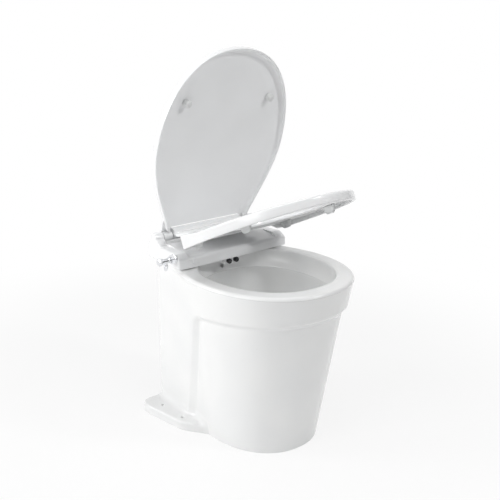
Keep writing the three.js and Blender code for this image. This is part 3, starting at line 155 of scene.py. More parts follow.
class Finish(Graph):
    """A material with a Principled shader."""

    def __init__(self, name, **constants):
        self.material = bpy.data.materials.new(name)
        self.material.use_nodes = True
        super().__init__(self.material.node_tree)
        self.shader = self.tree.nodes["Principled BSDF"]
        for socket, value in constants.items():
            self.shader.inputs[socket.replace("_", " ")].default_value = value

    def feed(self, **wires):
        for socket, value in wires.items():
            self.join(value, self.shader.inputs[socket.replace("_", " ")])
        return self.material

    def place(self):
        return self.node("ShaderNodeTexCoord", output="Object")

    def grain(self, scale, detail=2.0, stretch=None):
        where = self.place()
        if stretch:
            where = self.node("ShaderNodeVectorMath", {"operation": "MULTIPLY"}, {0: where, 1: stretch})
        return self.node("ShaderNodeTexNoise", values={"Vector": where, "Scale": scale, "Detail": detail})

    def blend(self, share, first, second):
        return self.node("ShaderNodeMix", {"data_type": "RGBA"}, {"Factor": share, "A": first, "B": second},
                         output="Result")

    def bump(self, height, distance):
        return self.node("ShaderNodeBump", values={"Height": height, "Distance": distance, "Strength": 1.0})


# %% [markdown]
# ## White that the camera sees, grey that lights the object
# A white backdrop made with more light would wash the object out. The world is therefore pure white only for
# the rays of the camera, of reflections and of glass, and a plain grey for the light that reaches the object.

# %% The world
ROOM_GREY, ROOM_STRENGTH = (0.98, 0.99, 1.0, 1.0), 0.17

world = bpy.data.worlds.new("studio")
bpy.context.scene.world = world
world.use_nodes = True
sky = Graph(world.node_tree)
plain = sky.tree.nodes["Background"]
plain.inputs["Color"].default_value = ROOM_GREY
plain.inputs["Strength"].default_value = ROOM_STRENGTH
white = sky.node("ShaderNodeBackground", values={"Color": (1.0, 1.0, 1.0), "Strength": 1.0})
sky.end_in_mix("World Output", sky.sees_white(), Wire(sky, plain.outputs[0]), white)
print("world", ROOM_STRENGTH, "for the object, white for the camera")

# %% [markdown]
# The floor keeps a soft shadow near the object and turns into the white backdrop further out, so no horizon
# shows. A mix of a diffuse and a glowing shader does both, and a smooth mask of the distance sets the share.

# %% The floor
FLOOR_RADIUS, FLOOR_DROP = 3.0, 0.0006
FLOOR_GLOW, GLOW_FROM, GLOW_FULL = 0.82, 0.45, 1.3


def stage_floor():
    mesh = bpy.data.meshes.new("floor")
    net = bmesh.new()
    bmesh.ops.create_circle(net, cap_ends=True, segments=96, radius=FLOOR_RADIUS)
    net.to_mesh(mesh)
    net.free()
    floor = bpy.data.objects.new("floor", mesh)
    floor.location.z = -FLOOR_DROP
    bpy.context.scene.collection.objects.link(floor)
    finish = Finish("floor_white", Base_Color=(0.93, 0.93, 0.93, 1.0), Roughness=0.9)
    far = finish.node("ShaderNodeVectorMath", {"operation": "LENGTH"}, {0: finish.place()}, output="Value")
    share = (far.ramp(GLOW_FROM, GLOW_FULL) * (1.0 - FLOOR_GLOW) + FLOOR_GLOW) * finish.sees_white()
    finish.end_in_mix("Material Output", share, Wire(finish, finish.shader.outputs[0]),
                      finish.node("ShaderNodeEmission"))
    mesh.materials.append(finish.material)


stage_floor()
print("floor radius", FLOOR_RADIUS)

# %% [markdown]
# ## Light
# The photograph is lit softly from the left: the left side is nearly white, the right front is a light grey.
# A large area lamp on the left and one behind it make that turn of tone, one above lights the rim, and a
# smaller one on the right front gives the buffers of the lid their short shadows.

# %% The lamps
CENTRE = Vector((0.0, -0.2, 0.35))
LAMPS = (("key_left", (-2.6, -0.35, 1.5), 1.8, 28), ("rear_left", (-2.2, 1.5, 1.6), 1.2, 30),
         ("top", (0.0, -0.6, 2.8), 1.8, 20), ("right_front", (1.1, -2.4, 2.3), 0.5, 25))


def placed(name, data, place, facing):
    """A new object at a place, turned so that one of its axes looks at the middle of the toilet."""
    new = bpy.data.objects.new(name, data)
    new.location = place
    new.rotation_euler = (CENTRE - Vector(place)).to_track_quat(facing, "Y").to_euler()
    bpy.context.scene.collection.objects.link(new)
    return new


for name, place, size, power in LAMPS:
    light = bpy.data.lights.new(name, "AREA")
    light.shape = "DISK"
    light.size = size
    light.energy = power
    placed(name, light, place, "-Z")
print("lamps", len(LAMPS))

# %% [markdown]
# Polished metal in an all-white room looks like paper. A photographer stands dark cards round it, so cards
# stand here on the right, behind the camera and low in front, and only reflections see them.

# %% The dark cards
CARDS = (("card_right", (2.4, -1.2, 0.7), 2.2, 1.6, 0.25),
         ("card_behind_camera", (-1.9, -2.3, 1.0), 1.5, 0.5, 0.03),
         ("card_chrome", (0.75, -1.2, 0.5), 0.9, 0.8, 0.02))

for name, place, width, height, tone in CARDS:
    x, y = width / 2, height / 2
    mesh = bpy.data.meshes.new(name)
    mesh.from_pydata([(-x, -y, 0), (x, -y, 0), (x, y, 0), (-x, y, 0)], [], [(0, 1, 2, 3)])
    mesh.materials.append(Finish(name, Base_Color=(tone, tone, tone, 1.0), Roughness=1.0).material)
    card = placed(name, mesh, place, "Z")
    card.visible_camera = card.visible_diffuse = card.visible_shadow = card.visible_transmission = False
print("cards", len(CARDS))

# %% [markdown]
# ## Shapes from rings
# Most pieces here are skins over rings of points: each ring is one level of the piece, and matching points of
# neighbour rings are joined by four-sided faces. It gives an even mesh that takes smooth shading well.

# %% Helpers for outlines, in millimetres
REAR = 8.0      # y of the rear face; a depth is measured ahead of it
POWER = 2.2     # 2 would make the noses round, and more makes them squarer
SMOOTH = 32     # edges that turn by more degrees than this stay sharp
THIN = 0.02     # the radius of a point on an axis


def mix(a, b, share):
    return a + (b - a) * share


def smooth(value, low, high):
    share = np.clip((value - low) / (high - low), 0.0, 1.0)
    return share * share * (3.0 - 2.0 * share)


def bezier(points, share):
    a, b, c, d = [np.array(point, float)[None] for point in points]
    t = share[:, None]
    return (1 - t) ** 3 * a + 3 * t * (1 - t) ** 2 * b + 3 * t * t * (1 - t) * c + t ** 3 * d


def mirrored(side):
    """Completes the right half of an outline, which runs from the nose to the rear, with its left half."""
    left = side[1:-1][::-1] * np.array([-1.0, 1.0])
    return np.concatenate([side, left])


def quarter(steps):
    return np.linspace(0.0, math.pi / 2, steps + 1)


def arc(steps):
    """A quarter turn as pairs: the first number grows from 0 to 1 and the second falls from 1 to 0."""
    return [(1 - math.cos(turn), 1 - math.sin(turn)) for turn in quarter(steps)]


def closed_plan(half, widest, front, rear_half, rear, corner, pulls, steps):
    """A closed outline of (x, depth): round nose, drawn-in sides, rounded rear corners, straight back.

    The sides are curves towards the two points in pulls, and steps counts the four stretches.
    """
    turn = quarter(steps[0])
    nose = np.stack([half * np.sin(turn) ** (2 / POWER),
                     widest + (front - widest) * np.abs(np.cos(turn)) ** (2 / POWER)], 1)
    side = bezier([(half, widest), *pulls, (rear_half, rear + corner)], np.linspace(0, 1, steps[1] + 1)[1:])
    turn = quarter(steps[2])[1:]
    bend = np.stack([rear_half - corner * (1 - np.cos(turn)), rear + corner * (1 - np.sin(turn))], 1)
    share = np.linspace(0, 1, steps[3] + 1)[1:]
    back = np.stack([(rear_half - corner) * (1 - share), np.full(steps[3], float(rear))], 1)
    outline = np.concatenate([nose, side, bend, back])
    outline[0, 0] = outline[-1, 0] = 0.0
    return mirrored(outline)


# %% Helpers for meshes
def made(name, points, faces, angle=SMOOTH):
    """A mesh object from points in millimetres, smooth up to an angle and with its faces turned outward."""
    mesh = bpy.data.meshes.new(name)
    mesh.from_pydata([tuple(p) for p in np.asarray(points) * MM], [], faces)
    net = bmesh.new()
    net.from_mesh(mesh)
    bmesh.ops.recalc_face_normals(net, faces=net.faces)
    net.to_mesh(mesh)
    net.free()
    piece = bpy.data.objects.new(name, mesh)
    bpy.context.scene.collection.objects.link(piece)
    return shaded(piece, angle)


def shaded(piece, angle=SMOOTH):
    piece.data.shade_smooth()
    piece.data.set_sharp_from_angle(angle=math.radians(angle))
    return piece


def skin(name, rings, endless=False, split=None, angle=SMOOTH):
    """A skin over rings of equal length, closed at both ends.

    endless joins the last ring to the first, and split leaves a gap before one ring and closes both its sides.
    """
    rings = np.asarray(rings, float)
    levels, count = rings.shape[:2]
    faces = []
    for i in range(levels if endless else levels - 1):
        a, b = i * count, ((i + 1) % levels) * count
        if i + 1 != split:
            faces += [(a + j, a + (j + 1) % count, b + (j + 1) % count, b + j) for j in range(count)]
    ends = (split - 1, split) if split else () if endless else (0, levels - 1)
    faces += [tuple(range(end * count, (end + 1) * count)) for end in ends]
    return made(name, rings.reshape(-1, 3), faces, angle)


def circle(steps):
    """The angles of points spread evenly round a circle."""
    return [2 * math.pi * k / steps for k in range(steps)]


def turned(name, profile, centre, axis, steps=64):
    """A turned piece: (radius, height) pairs swept round an axis from a centre, with both ends closed."""
    axis = Vector(axis).normalized()
    side = axis.orthogonal().normalized()
    other = axis.cross(side)
    spokes = [side * math.cos(turn) + other * math.sin(turn) for turn in circle(steps)]
    return skin(name, [[Vector(centre) + axis * height + out * max(radius, THIN) for out in spokes]
                       for radius, height in profile])


def drill(name, radius, start, end, centre, axis, steps=64):
    """A round cutter from one height to another."""
    return turned(name, [(radius, start), (radius, end)], centre, axis, steps)


def rounded(outline, radii, steps=5):
    """An outline with its corners rounded, by one radius for each point."""
    points = [Vector(p) for p in outline]
    result = []
    for i, point in enumerate(points):
        before, after = points[i - 1], points[(i + 1) % len(points)]
        to_before, to_after = (before - point), (after - point)
        angle = to_before.angle(to_after)
        reach = min(radii[i] / math.tan(angle / 2), to_before.length * 0.49, to_after.length * 0.49)
        if radii[i] <= 0 or reach < 0.01:
            result.append(tuple(point))
            continue
        start = point + to_before.normalized() * reach
        end = point + to_after.normalized() * reach
        for k in range(steps + 1):
            t = k / steps
            result.append(tuple(start * (1 - t) ** 2 + point * 2 * t * (1 - t) + end * t ** 2))
    return result


def packed_box(node):
    """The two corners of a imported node, in millimetres."""
    return [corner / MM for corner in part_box(node)]


# %% [markdown]
# Holes and joints are booleans. A modifier is easy to change later, but it would keep its tools in the scene,
# so each result is taken from the evaluated piece and kept as its mesh.

# %% Cutting and joining
def cut(piece, *tools, operation="DIFFERENCE", angle=SMOOTH):
    """Cuts tools out of a piece, or joins them to it, and removes them."""
    for tool in tools:
        modifier = piece.modifiers.new("boolean", "BOOLEAN")
        modifier.object = tool
        modifier.operation = operation
        modifier.solver = "EXACT"
        graph = bpy.context.evaluated_depsgraph_get()
        result = bpy.data.meshes.new_from_object(piece.evaluated_get(graph))
        piece.modifiers.clear()
        old, piece.data = piece.data, result
        bpy.data.meshes.remove(old)
        result.name = piece.name
        bpy.data.objects.remove(tool)
    return shaded(piece, angle)


# %% [markdown]
# ## The finishes
# The photograph shows three whites: glazed ceramic, glossy moulded plastic and a softer milky buffer material.
# Each has the same pale colour and differs in how it mirrors light, so the masks go into roughness, coat and
# bump as well as into the colour.

# %% Glazed and bare ceramic
def glaze():
    finish = Finish("glaze", Coat_Roughness=0.03, IOR=1.52, Specular_IOR_Level=0.35)
    cloud, ripple = finish.grain(7.0, 1.0), finish.grain(38.0)
    pits = finish.grain(420.0, 1.0).ramp(0.70, 0.78)
    colour = finish.blend(cloud.ramp(0.35, 0.65), (0.905, 0.91, 0.908), (0.93, 0.933, 0.927))
    return finish.feed(Base_Color=finish.blend(pits * 0.25, colour, (0.70, 0.69, 0.66)),
                       Roughness=0.16 + ripple * 0.10, Coat_Weight=0.28 - pits * 0.2,
                       Normal=finish.bump(ripple * 0.8 + cloud * 1.6 - pits * 0.1, 0.00035))


def bisque():
    finish = Finish("bare_ceramic", IOR=1.5)
    sand, stain = finish.grain(900.0, 3.0), finish.grain(11.0, 3.0).ramp(0.45, 0.75)
    return finish.feed(Base_Color=finish.blend(stain * 0.5, (0.80, 0.79, 0.76), (0.70, 0.67, 0.62)),
                       Roughness=0.62 + sand * 0.25, Normal=finish.bump(sand, 0.00012))


# %% [markdown]
# Moulded plastic copies the fine grain of its steel mould, and its colour drifts a little as it flows in. Pump
# plastic is filled with glass, whose pale specks lie along the flow.

# %% Moulded plastics and rubbers
def moulded(name, light, dark, roughness, scale=800.0, depth=0.00003, coat=0.0):
    """A moulded plastic: two tones in soft clouds and the fine grain of the mould."""
    finish = Finish(name, IOR=1.49, Coat_Roughness=0.05)
    cloud, grain = finish.grain(9.0, 1.0), finish.grain(scale)
    return finish.feed(Base_Color=finish.blend(cloud.ramp(0.3, 0.7), dark, light),
                       Roughness=roughness + (grain - 0.5) * 0.12, Coat_Weight=coat + cloud * 0.05,
                       Normal=finish.bump(grain + finish.grain(16.0, 1.0) * 2.0, depth))


def filled_plastic():
    finish = Finish("glass_filled_plastic", IOR=1.5)
    specks = finish.grain(1300.0, 2.0, (1.0, 0.35, 1.0)).ramp(0.60, 0.72)
    colour = finish.blend(finish.grain(14.0), (0.23, 0.24, 0.25), (0.29, 0.30, 0.31))
    return finish.feed(Base_Color=finish.blend(specks * 0.5, colour, (0.42, 0.43, 0.44)),
                       Roughness=0.42 + specks * 0.2, Normal=finish.bump(specks, 0.00004))


# %% [markdown]
# Metal has no colour under its surface, so its reflection does all the work: brushed steel has long scratches
# that blur it, chrome has only a faint mist, and the motor's enamel has an orange peel and some dust.

# %% Metals and paint
def brushed_steel():
    finish = Finish("brushed_steel", Metallic=1.0)
    lines, stain = finish.grain(260.0, 3.0, (1.0, 1.0, 14.0)), finish.grain(30.0, 3.0).ramp(0.55, 0.8)
    return finish.feed(Base_Color=finish.blend(stain * 0.4, (0.60, 0.60, 0.61), (0.46, 0.45, 0.44)),
                       Roughness=0.24 + lines * 0.16 + stain * 0.1, Normal=finish.bump(lines, 0.00003))


def chrome():
    finish = Finish("chrome", Metallic=1.0)
    mist, polish = finish.grain(55.0, 3.0).ramp(0.45, 0.75), finish.grain(900.0, 1.0, (3.0, 1.0, 1.0))
    return finish.feed(Base_Color=finish.blend(mist * 0.4, (0.80, 0.81, 0.83), (0.66, 0.67, 0.69)),
                       Roughness=0.05 + mist * 0.07 + polish * 0.02, Normal=finish.bump(polish, 0.00001))


def motor_paint():
    finish = Finish("motor_enamel", IOR=1.5, Coat_Roughness=0.08)
    peel, dust = finish.grain(520.0), finish.grain(24.0, 4.0).ramp(0.5, 0.8)
    return finish.feed(Base_Color=finish.blend(dust * 0.35, (0.035, 0.037, 0.04), (0.16, 0.155, 0.15)),
                       Roughness=0.30 + dust * 0.3, Coat_Weight=0.4 - dust * 0.3,
                       Normal=finish.bump(peel, 0.00005))


FINISHES = {
    "ceramic": glaze(),
    "seat_plastic": moulded("white_gloss_plastic", (0.935, 0.94, 0.945), (0.91, 0.915, 0.92), 0.20, coat=0.25),
    "buffer_rubber": moulded("milky_buffer", (0.80, 0.805, 0.80), (0.72, 0.73, 0.73), 0.45, 500.0, 0.00004),
    "black_plastic": moulded("black_plastic", (0.030, 0.030, 0.032), (0.018, 0.018, 0.019), 0.34),
    "black_rubber": moulded("black_rubber", (0.035, 0.034, 0.033), (0.022, 0.022, 0.022), 0.66, 600.0, 0.00006),
    "pump_plastic": filled_plastic(),
    "motor_paint": motor_paint(),
    "steel": brushed_steel(),
    "chrome": chrome(),
}
BARE = bisque()
print("finishes", len(FINISHES) + 1)


# %% [markdown]
# A new piece is hung on its body, and the imported nodes it takes the place of are hidden. Its first slot is
# its finish, and a second one is for bare clay.

# %% What every new piece gets
def fitted(piece, slot, body="root", replaced=(), extra=()):
    """Gives a piece its finish and its body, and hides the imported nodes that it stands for."""
    for material in (FINISHES[slot], *extra)[len(piece.data.materials):]:
        piece.data.materials.append(material)
    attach(piece, body)
    if replaced:
        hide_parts(*replaced)
    return piece


# %% [markdown]
# ## The ceramic casting
# The real casting is one piece: bowl, rim band, recessed front, rear column and two feet. Its soft steps are
# what make it look like glazed clay, and a hard union of blocks can't show them. So one skin is drawn through
# every ring from the floor up the outside, over the rim, down the bowl and back up the inside.
# The recess in front is a mask: inside its line the skin moves to the smaller body, with a smooth S between.

# %% Outlines of the casting
NOSE = 44       # steps from the nose to the widest place
RIM, RIM_LENGTH, RIM_HALF, RIM_WIDEST = 392.0, 471.0, 176.0, 255.0
FLOOR_LENGTH, FLOOR_HALF, FLOOR_WIDEST = 400, 125, 230
REAR_HALF, REAR_CORNER = 120, 24
STEP_BOTTOM, STEP_LENGTH, STEP_HALF = 308.0, 446.3, 155.6
BODY_LENGTH = 389


def plan(half, widest, front, rear_half, rear, corner, drawn=0.25):
    run = widest - rear - corner
    pulls = (half, widest - run * drawn), (mix(rear_half, half, drawn), rear + corner + run * drawn)
    return closed_plan(half, widest, front, rear_half, rear, corner, pulls, (NOSE, 84, 10, 10))


def skin_plan(z, inset=0.0):
    """The casting's full outline, which the rim, the band and the rear column keep."""
    share = z / RIM
    return plan(mix(FLOOR_HALF, RIM_HALF, share) - inset, mix(FLOOR_WIDEST, RIM_WIDEST, share),
                mix(FLOOR_LENGTH, RIM_LENGTH, share) - inset, REAR_HALF - inset, inset, REAR_CORNER - inset / 2)


def body_plan(z, inset=0.0, rear_half=96.0, rear=24.0, corner=24.0):
    """The smaller body inside the recess."""
    share = z / STEP_BOTTOM
    return plan(mix(FLOOR_HALF, STEP_HALF, share) - inset, mix(FLOOR_WIDEST, RIM_WIDEST, z / RIM),
                mix(BODY_LENGTH, STEP_LENGTH, share) - inset, rear_half, rear, corner)


# %% The line of the recess, in depth and height
BEND_DEPTH, BEND_HEIGHT, BEND_RADIUS = 247, 266, 40
SOFT_STEP = 8.6     # half the width of the step at the line

turn = quarter(12)
bend = np.stack([BEND_DEPTH - BEND_RADIUS * np.cos(turn), BEND_HEIGHT + BEND_RADIUS * np.sin(turn)], 1)
LINE = np.concatenate([[(128.0, -30.0)], bend, [(363.0, 316.5), (560.0, 331.2)]])


def inside_recess(depth, z):
    """1 in front of and under the recess line, 0 behind and over it, with a smooth step between."""
    points = np.stack([depth, np.full_like(depth, z)], 1)
    nearest = np.full(len(depth), np.inf)
    for start, end in zip(LINE[:-1], LINE[1:]):
        along = end - start
        share = np.clip(((points - start) @ along) / (along @ along), 0, 1)
        nearest = np.minimum(nearest, np.linalg.norm(points - start - share[:, None] * along, axis=1))
    rising = LINE[np.argsort(LINE[:, 0])]
    roof = np.interp(depth, rising[:, 0], rising[:, 1])
    return smooth(np.where(z < roof, nearest, -nearest), -SOFT_STEP, SOFT_STEP)


def outside_plan(z):
    """The finished outside at a height, before the feet."""
    outer, inner = skin_plan(z), body_plan(z)
    return mix(outer, inner, inside_recess((outer[:, 1] + inner[:, 1]) / 2, z)[:, None])


# %% [markdown]
# The feet grow out of the wall: each station of the lowest rings is pulled out to the flange's edge, by a share
# that falls to nothing at the top of the fillet. Welded-on blocks would leave a hard line there.

# %% The feet spread out of the column
FOOT_TOP, FOOT_EDGE, FOOT_FILLET, FILLET_REACH = 22.0, 5.0, 16.0, 14.0
FOOT_START, FOOT_END = 214.0, 4.0       # the depths between which the wall spreads
FOOT_FRONT = (125.5, 212), (137.7, 186), (159.5, 168), (163, 139)
FOOT_BACK = (175.2, 44), (177.6, 14), (168, 4), (151, 4)
SPREAD = (-FOOT_START, -139.0, -60.0, -24.0, -9.0, -FOOT_END), (0.0, 0.335, 0.62, 0.785, 0.865, 1.0)
FOOT_WALL = outside_plan(20.0)


def foot_targets():
    """For each station of the outline the point on the flange's edge that it reaches, or its own place."""
    half = len(FOOT_WALL) // 2 + 1
    right = FOOT_WALL[:half].copy()
    on_side = np.arange(half) > NOSE
    first = int(np.argmax((right[:, 1] < FOOT_START) & on_side))
    last = int(np.argmax((right[:, 1] <= FOOT_END) & on_side))
    shares = np.linspace(0, 1, 13)
    edge = np.concatenate([bezier(FOOT_FRONT, shares), bezier(FOOT_BACK, shares), [(109.3, FOOT_END)]])
    steps = np.linalg.norm(np.diff(edge, axis=0), axis=1)
    run = np.concatenate([[0], np.cumsum(steps)]) / steps.sum()
    reached = np.interp(-right[first:last + 1, 1], *SPREAD)
    right[first:last + 1] = np.stack([np.interp(reached, run, edge[:, k]) for k in (0, 1)], 1)
    return mirrored(right)


def foot_rings():
    """Rings from the floor up over the flange and its fillet to the plain wall."""
    target = foot_targets()
    reach = np.linalg.norm(target - FOOT_WALL, axis=1)
    foot = smooth(reach, 1.0, 30.0)
    edge = np.minimum(FOOT_EDGE, reach * 0.25)
    fillet = np.minimum(FILLET_REACH, reach * 0.4)
    top = FOOT_TOP + FOOT_FILLET
    profile = [(0.0, reach - 1.0), (1.0, reach), (6.0, reach), (12.0, reach)]
    profile += [(FOOT_TOP - FOOT_EDGE * fall, reach - edge * rise) for rise, fall in arc(6)]
    profile += [(FOOT_TOP, mix(reach - edge, fillet, share)) for share in (0.25, 0.5, 0.75)]
    profile += [(FOOT_TOP + FOOT_FILLET * rise, fillet * fall) for rise, fall in arc(9)]
    floor, ceiling = outside_plan(0.0), outside_plan(top)
    rings = []
    for i, (z, offset) in enumerate(profile):
        height = mix(top * i / (len(profile) - 1), z, foot)
        share = np.clip(offset / np.maximum(reach, 0.5), -0.02, 1)[:, None]
        at_wall = mix(floor, ceiling, (height / top)[:, None])
        flat = mix(at_wall, target, share * (reach > 0.5)[:, None])
        rings.append(np.column_stack([flat[:, 0], REAR - flat[:, 1], height]))
    return rings


# %% [markdown]
# The bowl's rings use the same stations as the outside, so the skin runs over the rim without a seam.

# %% The bowl, drawn at the same stations
BOWL_HALF, BOWL_FRONT, BOWL_REAR, BOWL_MID, OUTLET_MID = 138, 430, 110, 265, 222
AHEAD, BEHIND = BOWL_FRONT - BOWL_MID, BOWL_MID - BOWL_REAR


def bowl_turns():
    """The angle round the bowl of each station, so that lines run straight over the rim into it."""
    x, ahead = (skin_plan(RIM) - (0, BOWL_MID)).T
    across = (np.abs(x) / BOWL_HALF) ** (POWER / 2)
    along = (np.abs(ahead) / np.where(ahead > 0, AHEAD, BEHIND)) ** (POWER / 2)
    return np.arctan2(across * np.sign(x), along * np.sign(ahead))


TURNS = bowl_turns()


def bowl_plan(half, front, rear, mid):
    """An oval of (x, depth) with a longer front than rear."""
    sine, cosine = np.sin(TURNS), np.cos(TURNS)
    reach = np.where(cosine > 0, front - mid, mid - rear)
    return np.stack([half * np.sign(sine) * np.abs(sine) ** (2 / POWER),
                     mid + reach * np.sign(cosine) * np.abs(cosine) ** (2 / POWER)], 1)


def opening_plan(inset):
    return bowl_plan(BOWL_HALF - inset, BOWL_FRONT - inset, BOWL_REAR + inset, BOWL_MID)


# Each row is a share of the basin's depth, and there the shares of its width, its front and its rear.
SHARES = np.array([(0, 1, 1, 1), (.16, .97, .97, .95), (.4, .86, .85, .83), (.64, .69, .67, .63),
                   (.84, .48, .46, .45), (.96, .31, .28, .33)])


def basin_plan(down, wall=0.0):
    """The basin at a share of its depth, by a smooth curve through its measured widths."""
    ends = np.concatenate([[2 * SHARES[0] - SHARES[1]], SHARES, [2 * SHARES[-1] - SHARES[-2]]])
    i = int(np.clip(np.searchsorted(SHARES[:, 0], down, side="right") - 1, 0, len(SHARES) - 2))
    t = (down - SHARES[i, 0]) / (SHARES[i + 1, 0] - SHARES[i, 0])
    a, b, c, d = ends[i:i + 4]
    _, half, front, rear = 0.5 * (2 * b + (c - a) * t + (2 * a - 5 * b + 4 * c - d) * t * t
                                  + (3 * b - 3 * c + d - a) * t ** 3)
    mid = mix(BOWL_MID, OUTLET_MID, down)
    return bowl_plan(half * BOWL_HALF + wall, mid + front * AHEAD + wall, mid - rear * BEHIND - wall, mid)


def outlet_plan(radius):
    return bowl_plan(radius, OUTLET_MID + radius, OUTLET_MID - radius, OUTLET_MID)


# %% All the rings, from the floor outside to the floor inside
RIM_ROUND, LIP_ROUND, WALL = 7, 5, 9
BASIN_TOP, BASIN_DEPTH, BASIN_END = 347, 167, 0.96     # the outlet takes over at this share of the depth
CLAY_SMOOTH = 38
BARE_RINGS = 57


def casting_rings():
    levels = np.concatenate([np.linspace(44, 256, 30), np.linspace(260, 300, 14), np.linspace(302, 332, 21),
                             np.linspace(338, 384, 7)])
    flat = [(z, outside_plan(z)) for z in levels]
    flat += [(RIM - RIM_ROUND * fall, skin_plan(RIM, RIM_ROUND * rise)) for rise, fall in arc(7)]
    outer, lip = skin_plan(RIM, RIM_ROUND), opening_plan(-LIP_ROUND)
    flat += [(RIM - 0.15 * abs(2 * share - 1), mix(outer, lip, share)) for share in (0.2, 0.4, 0.6, 0.8)]
    flat += [(RIM - LIP_ROUND * rise, opening_plan(-LIP_ROUND * fall)) for rise, fall in arc(6)]
    flat += [(mix(387, 352.4, share), opening_plan(9.6 * share ** 2.5)) for share in np.linspace(0.1, 0.97, 12)]
    for z, inset in ((351.2, 9.9), (350.2, 9.9), (349.3, 9.0), (348.4, 6.0), (347.6, 2.0)):
        flat.append((z, opening_plan(inset)))
    flat += [(BASIN_TOP - down * BASIN_DEPTH, basin_plan(down)) for down in np.linspace(0.0, BASIN_END, 22)]
    last, outlet = basin_plan(BASIN_END), outlet_plan(28)
    flat += [(180.5, mix(last, outlet, 0.55)), (175.5, mix(last, outlet, 0.9)), (171, outlet), (164, outlet)]
    for z, radius in ((158, 28.2), (157, 29), (157, 39), (157.8, 40), (163, 40), (164.5, 39)):
        flat.append((z, outlet_plan(radius)))
    flat += [(BASIN_TOP - down * BASIN_DEPTH - WALL * down, basin_plan(down, WALL))
             for down in np.linspace(BASIN_END, 0.0, 13)]
    flat += [(z, opening_plan(inset)) for z, inset in ((362, -9), (372, -9.6), (375.4, -12))]
    inner = [(z, body_plan(z, WALL, 92, 16, 12)) for z in np.linspace(373, 2, 30)]
    flat += [(376, mix(opening_plan(-12), inner[0][1], share)) for share in (0.35, 0.85)]
    flat += inner + [(0.0, body_plan(0, 7.5, 93.5, 14.5, 12))]
    return foot_rings() + [np.column_stack([p[:, 0], REAR - p[:, 1], np.full(len(p), z)]) for z, p in flat]


rings = casting_rings()
casting = skin("casting", rings, endless=True, angle=CLAY_SMOOTH)
for finish in (FINISHES["ceramic"], BARE):
    casting.data.materials.append(finish)
stations = len(rings[0])
glazed = (len(rings) - BARE_RINGS) * stations
bare = [0] * glazed + [1] * (len(casting.data.polygons) - glazed)
casting.data.polygons.foreach_set("material_index", bare)
print("casting", len(rings), "rings of", stations, "stations, bare faces", sum(bare))

# %% [markdown]
# The rear window, the screw holes and the rinse hole are the only true cuts. The cutters of the window and of
# the screw holes flare at the mouth, so that those cut edges are rounded like fired clay.

# %% Cuts in the casting
UP, ACROSS, BACK = (0, 0, 1), (1, 0, 0), (0, 1, 0)
SIDES = (-1, "left"), (1, "right")
SCREW_X, SCREW_DEPTHS = 146, (58, 139)
BOLT_X, BOLT_DEPTH = 78, 62
WINDOW_CORNER = 26


def window_outline(grow, steps=10):
    """The rear window as (x, z), with its corners round and its edge grown outward."""
    points, reach = [], WINDOW_CORNER + grow
    for x, z, start in ((60, 200, 0), (-60, 200, 90), (-60, 68, 180), (60, 68, 270)):
        turns = [math.radians(start + 90 * k / steps) for k in range(steps + 1)]
        points += [(x + reach * math.cos(turn), z + reach * math.sin(turn)) for turn in turns]
    return points


flare = ((-6, 5), (0, 3), (0.9, 1.2), (3, 0), (12, 0), (14.6, 1.2), (17, 3.5), (40, 4))
tools = [skin("window", [[(x, REAR - depth, z) for x, z in window_outline(grow)] for depth, grow in flare])]
for side, _ in SIDES:
    for depth in SCREW_DEPTHS:
        tools.append(turned("screw_hole", [(3.5, -3), (3.5, 20.2), (4.2, 21.6), (5.0, 23.0)],
                            (side * SCREW_X, REAR - depth, 0), UP, 32))
for side, _ in SIDES:
    tools.append(drill("deck_hole", 6, 0, 40, (side * BOLT_X, REAR - BOLT_DEPTH, 360), UP, 32))
tools.append(drill("rinse_hole", 7, -14, 24, (0, REAR - BOWL_REAR, 364), BACK, 32))
cut(casting, *tools, angle=CLAY_SMOOTH)
fitted(casting, "ceramic", replaced=("pedestal", "bowl"), extra=(BARE,))
print("cuts", len(tools))

# %% [markdown]
# ## The hinge base
# The slim white base on the rear deck carries the bidet nozzles and the hinge. Its body is one profile pushed
# along x, hollow from below, with an ear at each end whose outside draws in towards the rear.
# Soft corners matter most here: each edge takes a bright streak from the lamp.

# %% Profiles of the base, as (y, z)
HINGE_Y, HINGE_Z = -45.0, 443.0
HINGE = (0, HINGE_Y, HINGE_Z)
BASE_LOW, BASE_TOP, EAR_TOP = 394.6, 418.6, 428.6
BASE_FRONT, BASE_REAR = REAR - 163.5, REAR - 24.0
BASE_WALL = 3
EAR_IN, EAR_FRONT, EAR_REAR, EAR_EDGE = 131.5, 161.0, 150.0, 5.0
BOSS, BOSS_STEPS = 13, 16


def base_profile(inset, low):
    outline = [(BASE_FRONT + inset, low), (BASE_FRONT + inset, BASE_TOP - 4.6 - inset),
               (BASE_FRONT + 5 + inset, BASE_TOP - inset), (REAR - 83 + inset, 433.5 - inset),
               (REAR - 68 - inset / 2, 428 - inset), (REAR - 27 - inset, 428 - inset),
               (BASE_REAR - inset, 425 - inset), (BASE_REAR - inset, low)]
    return rounded(outline, [0.6, 2.6, 1.6, 5, 4, 2, 1.5, 0.6])


def ear_profile(inset):
    outline = [(BASE_FRONT + inset, BASE_LOW + inset), (BASE_FRONT + inset, BASE_TOP - 5 - inset),
               (BASE_FRONT + 5 + inset, BASE_TOP + 1 - inset), (BASE_FRONT + 17 + inset, EAR_TOP - 0.5 - inset),
               (HINGE_Y - 26, EAR_TOP - inset)]
    for turn in np.linspace(0, math.pi, BOSS_STEPS + 1):
        outline.append((HINGE_Y - (BOSS - inset) * math.cos(turn), HINGE_Z + (BOSS - inset) * math.sin(turn)))
    outline += [(BASE_REAR - inset, EAR_TOP - 3 - inset), (BASE_REAR - inset, BASE_LOW + inset)]
    return rounded(outline, [1.5, 5, 4, 9, 6] + [0.6] * (BOSS_STEPS + 1) + [6, 1.5])


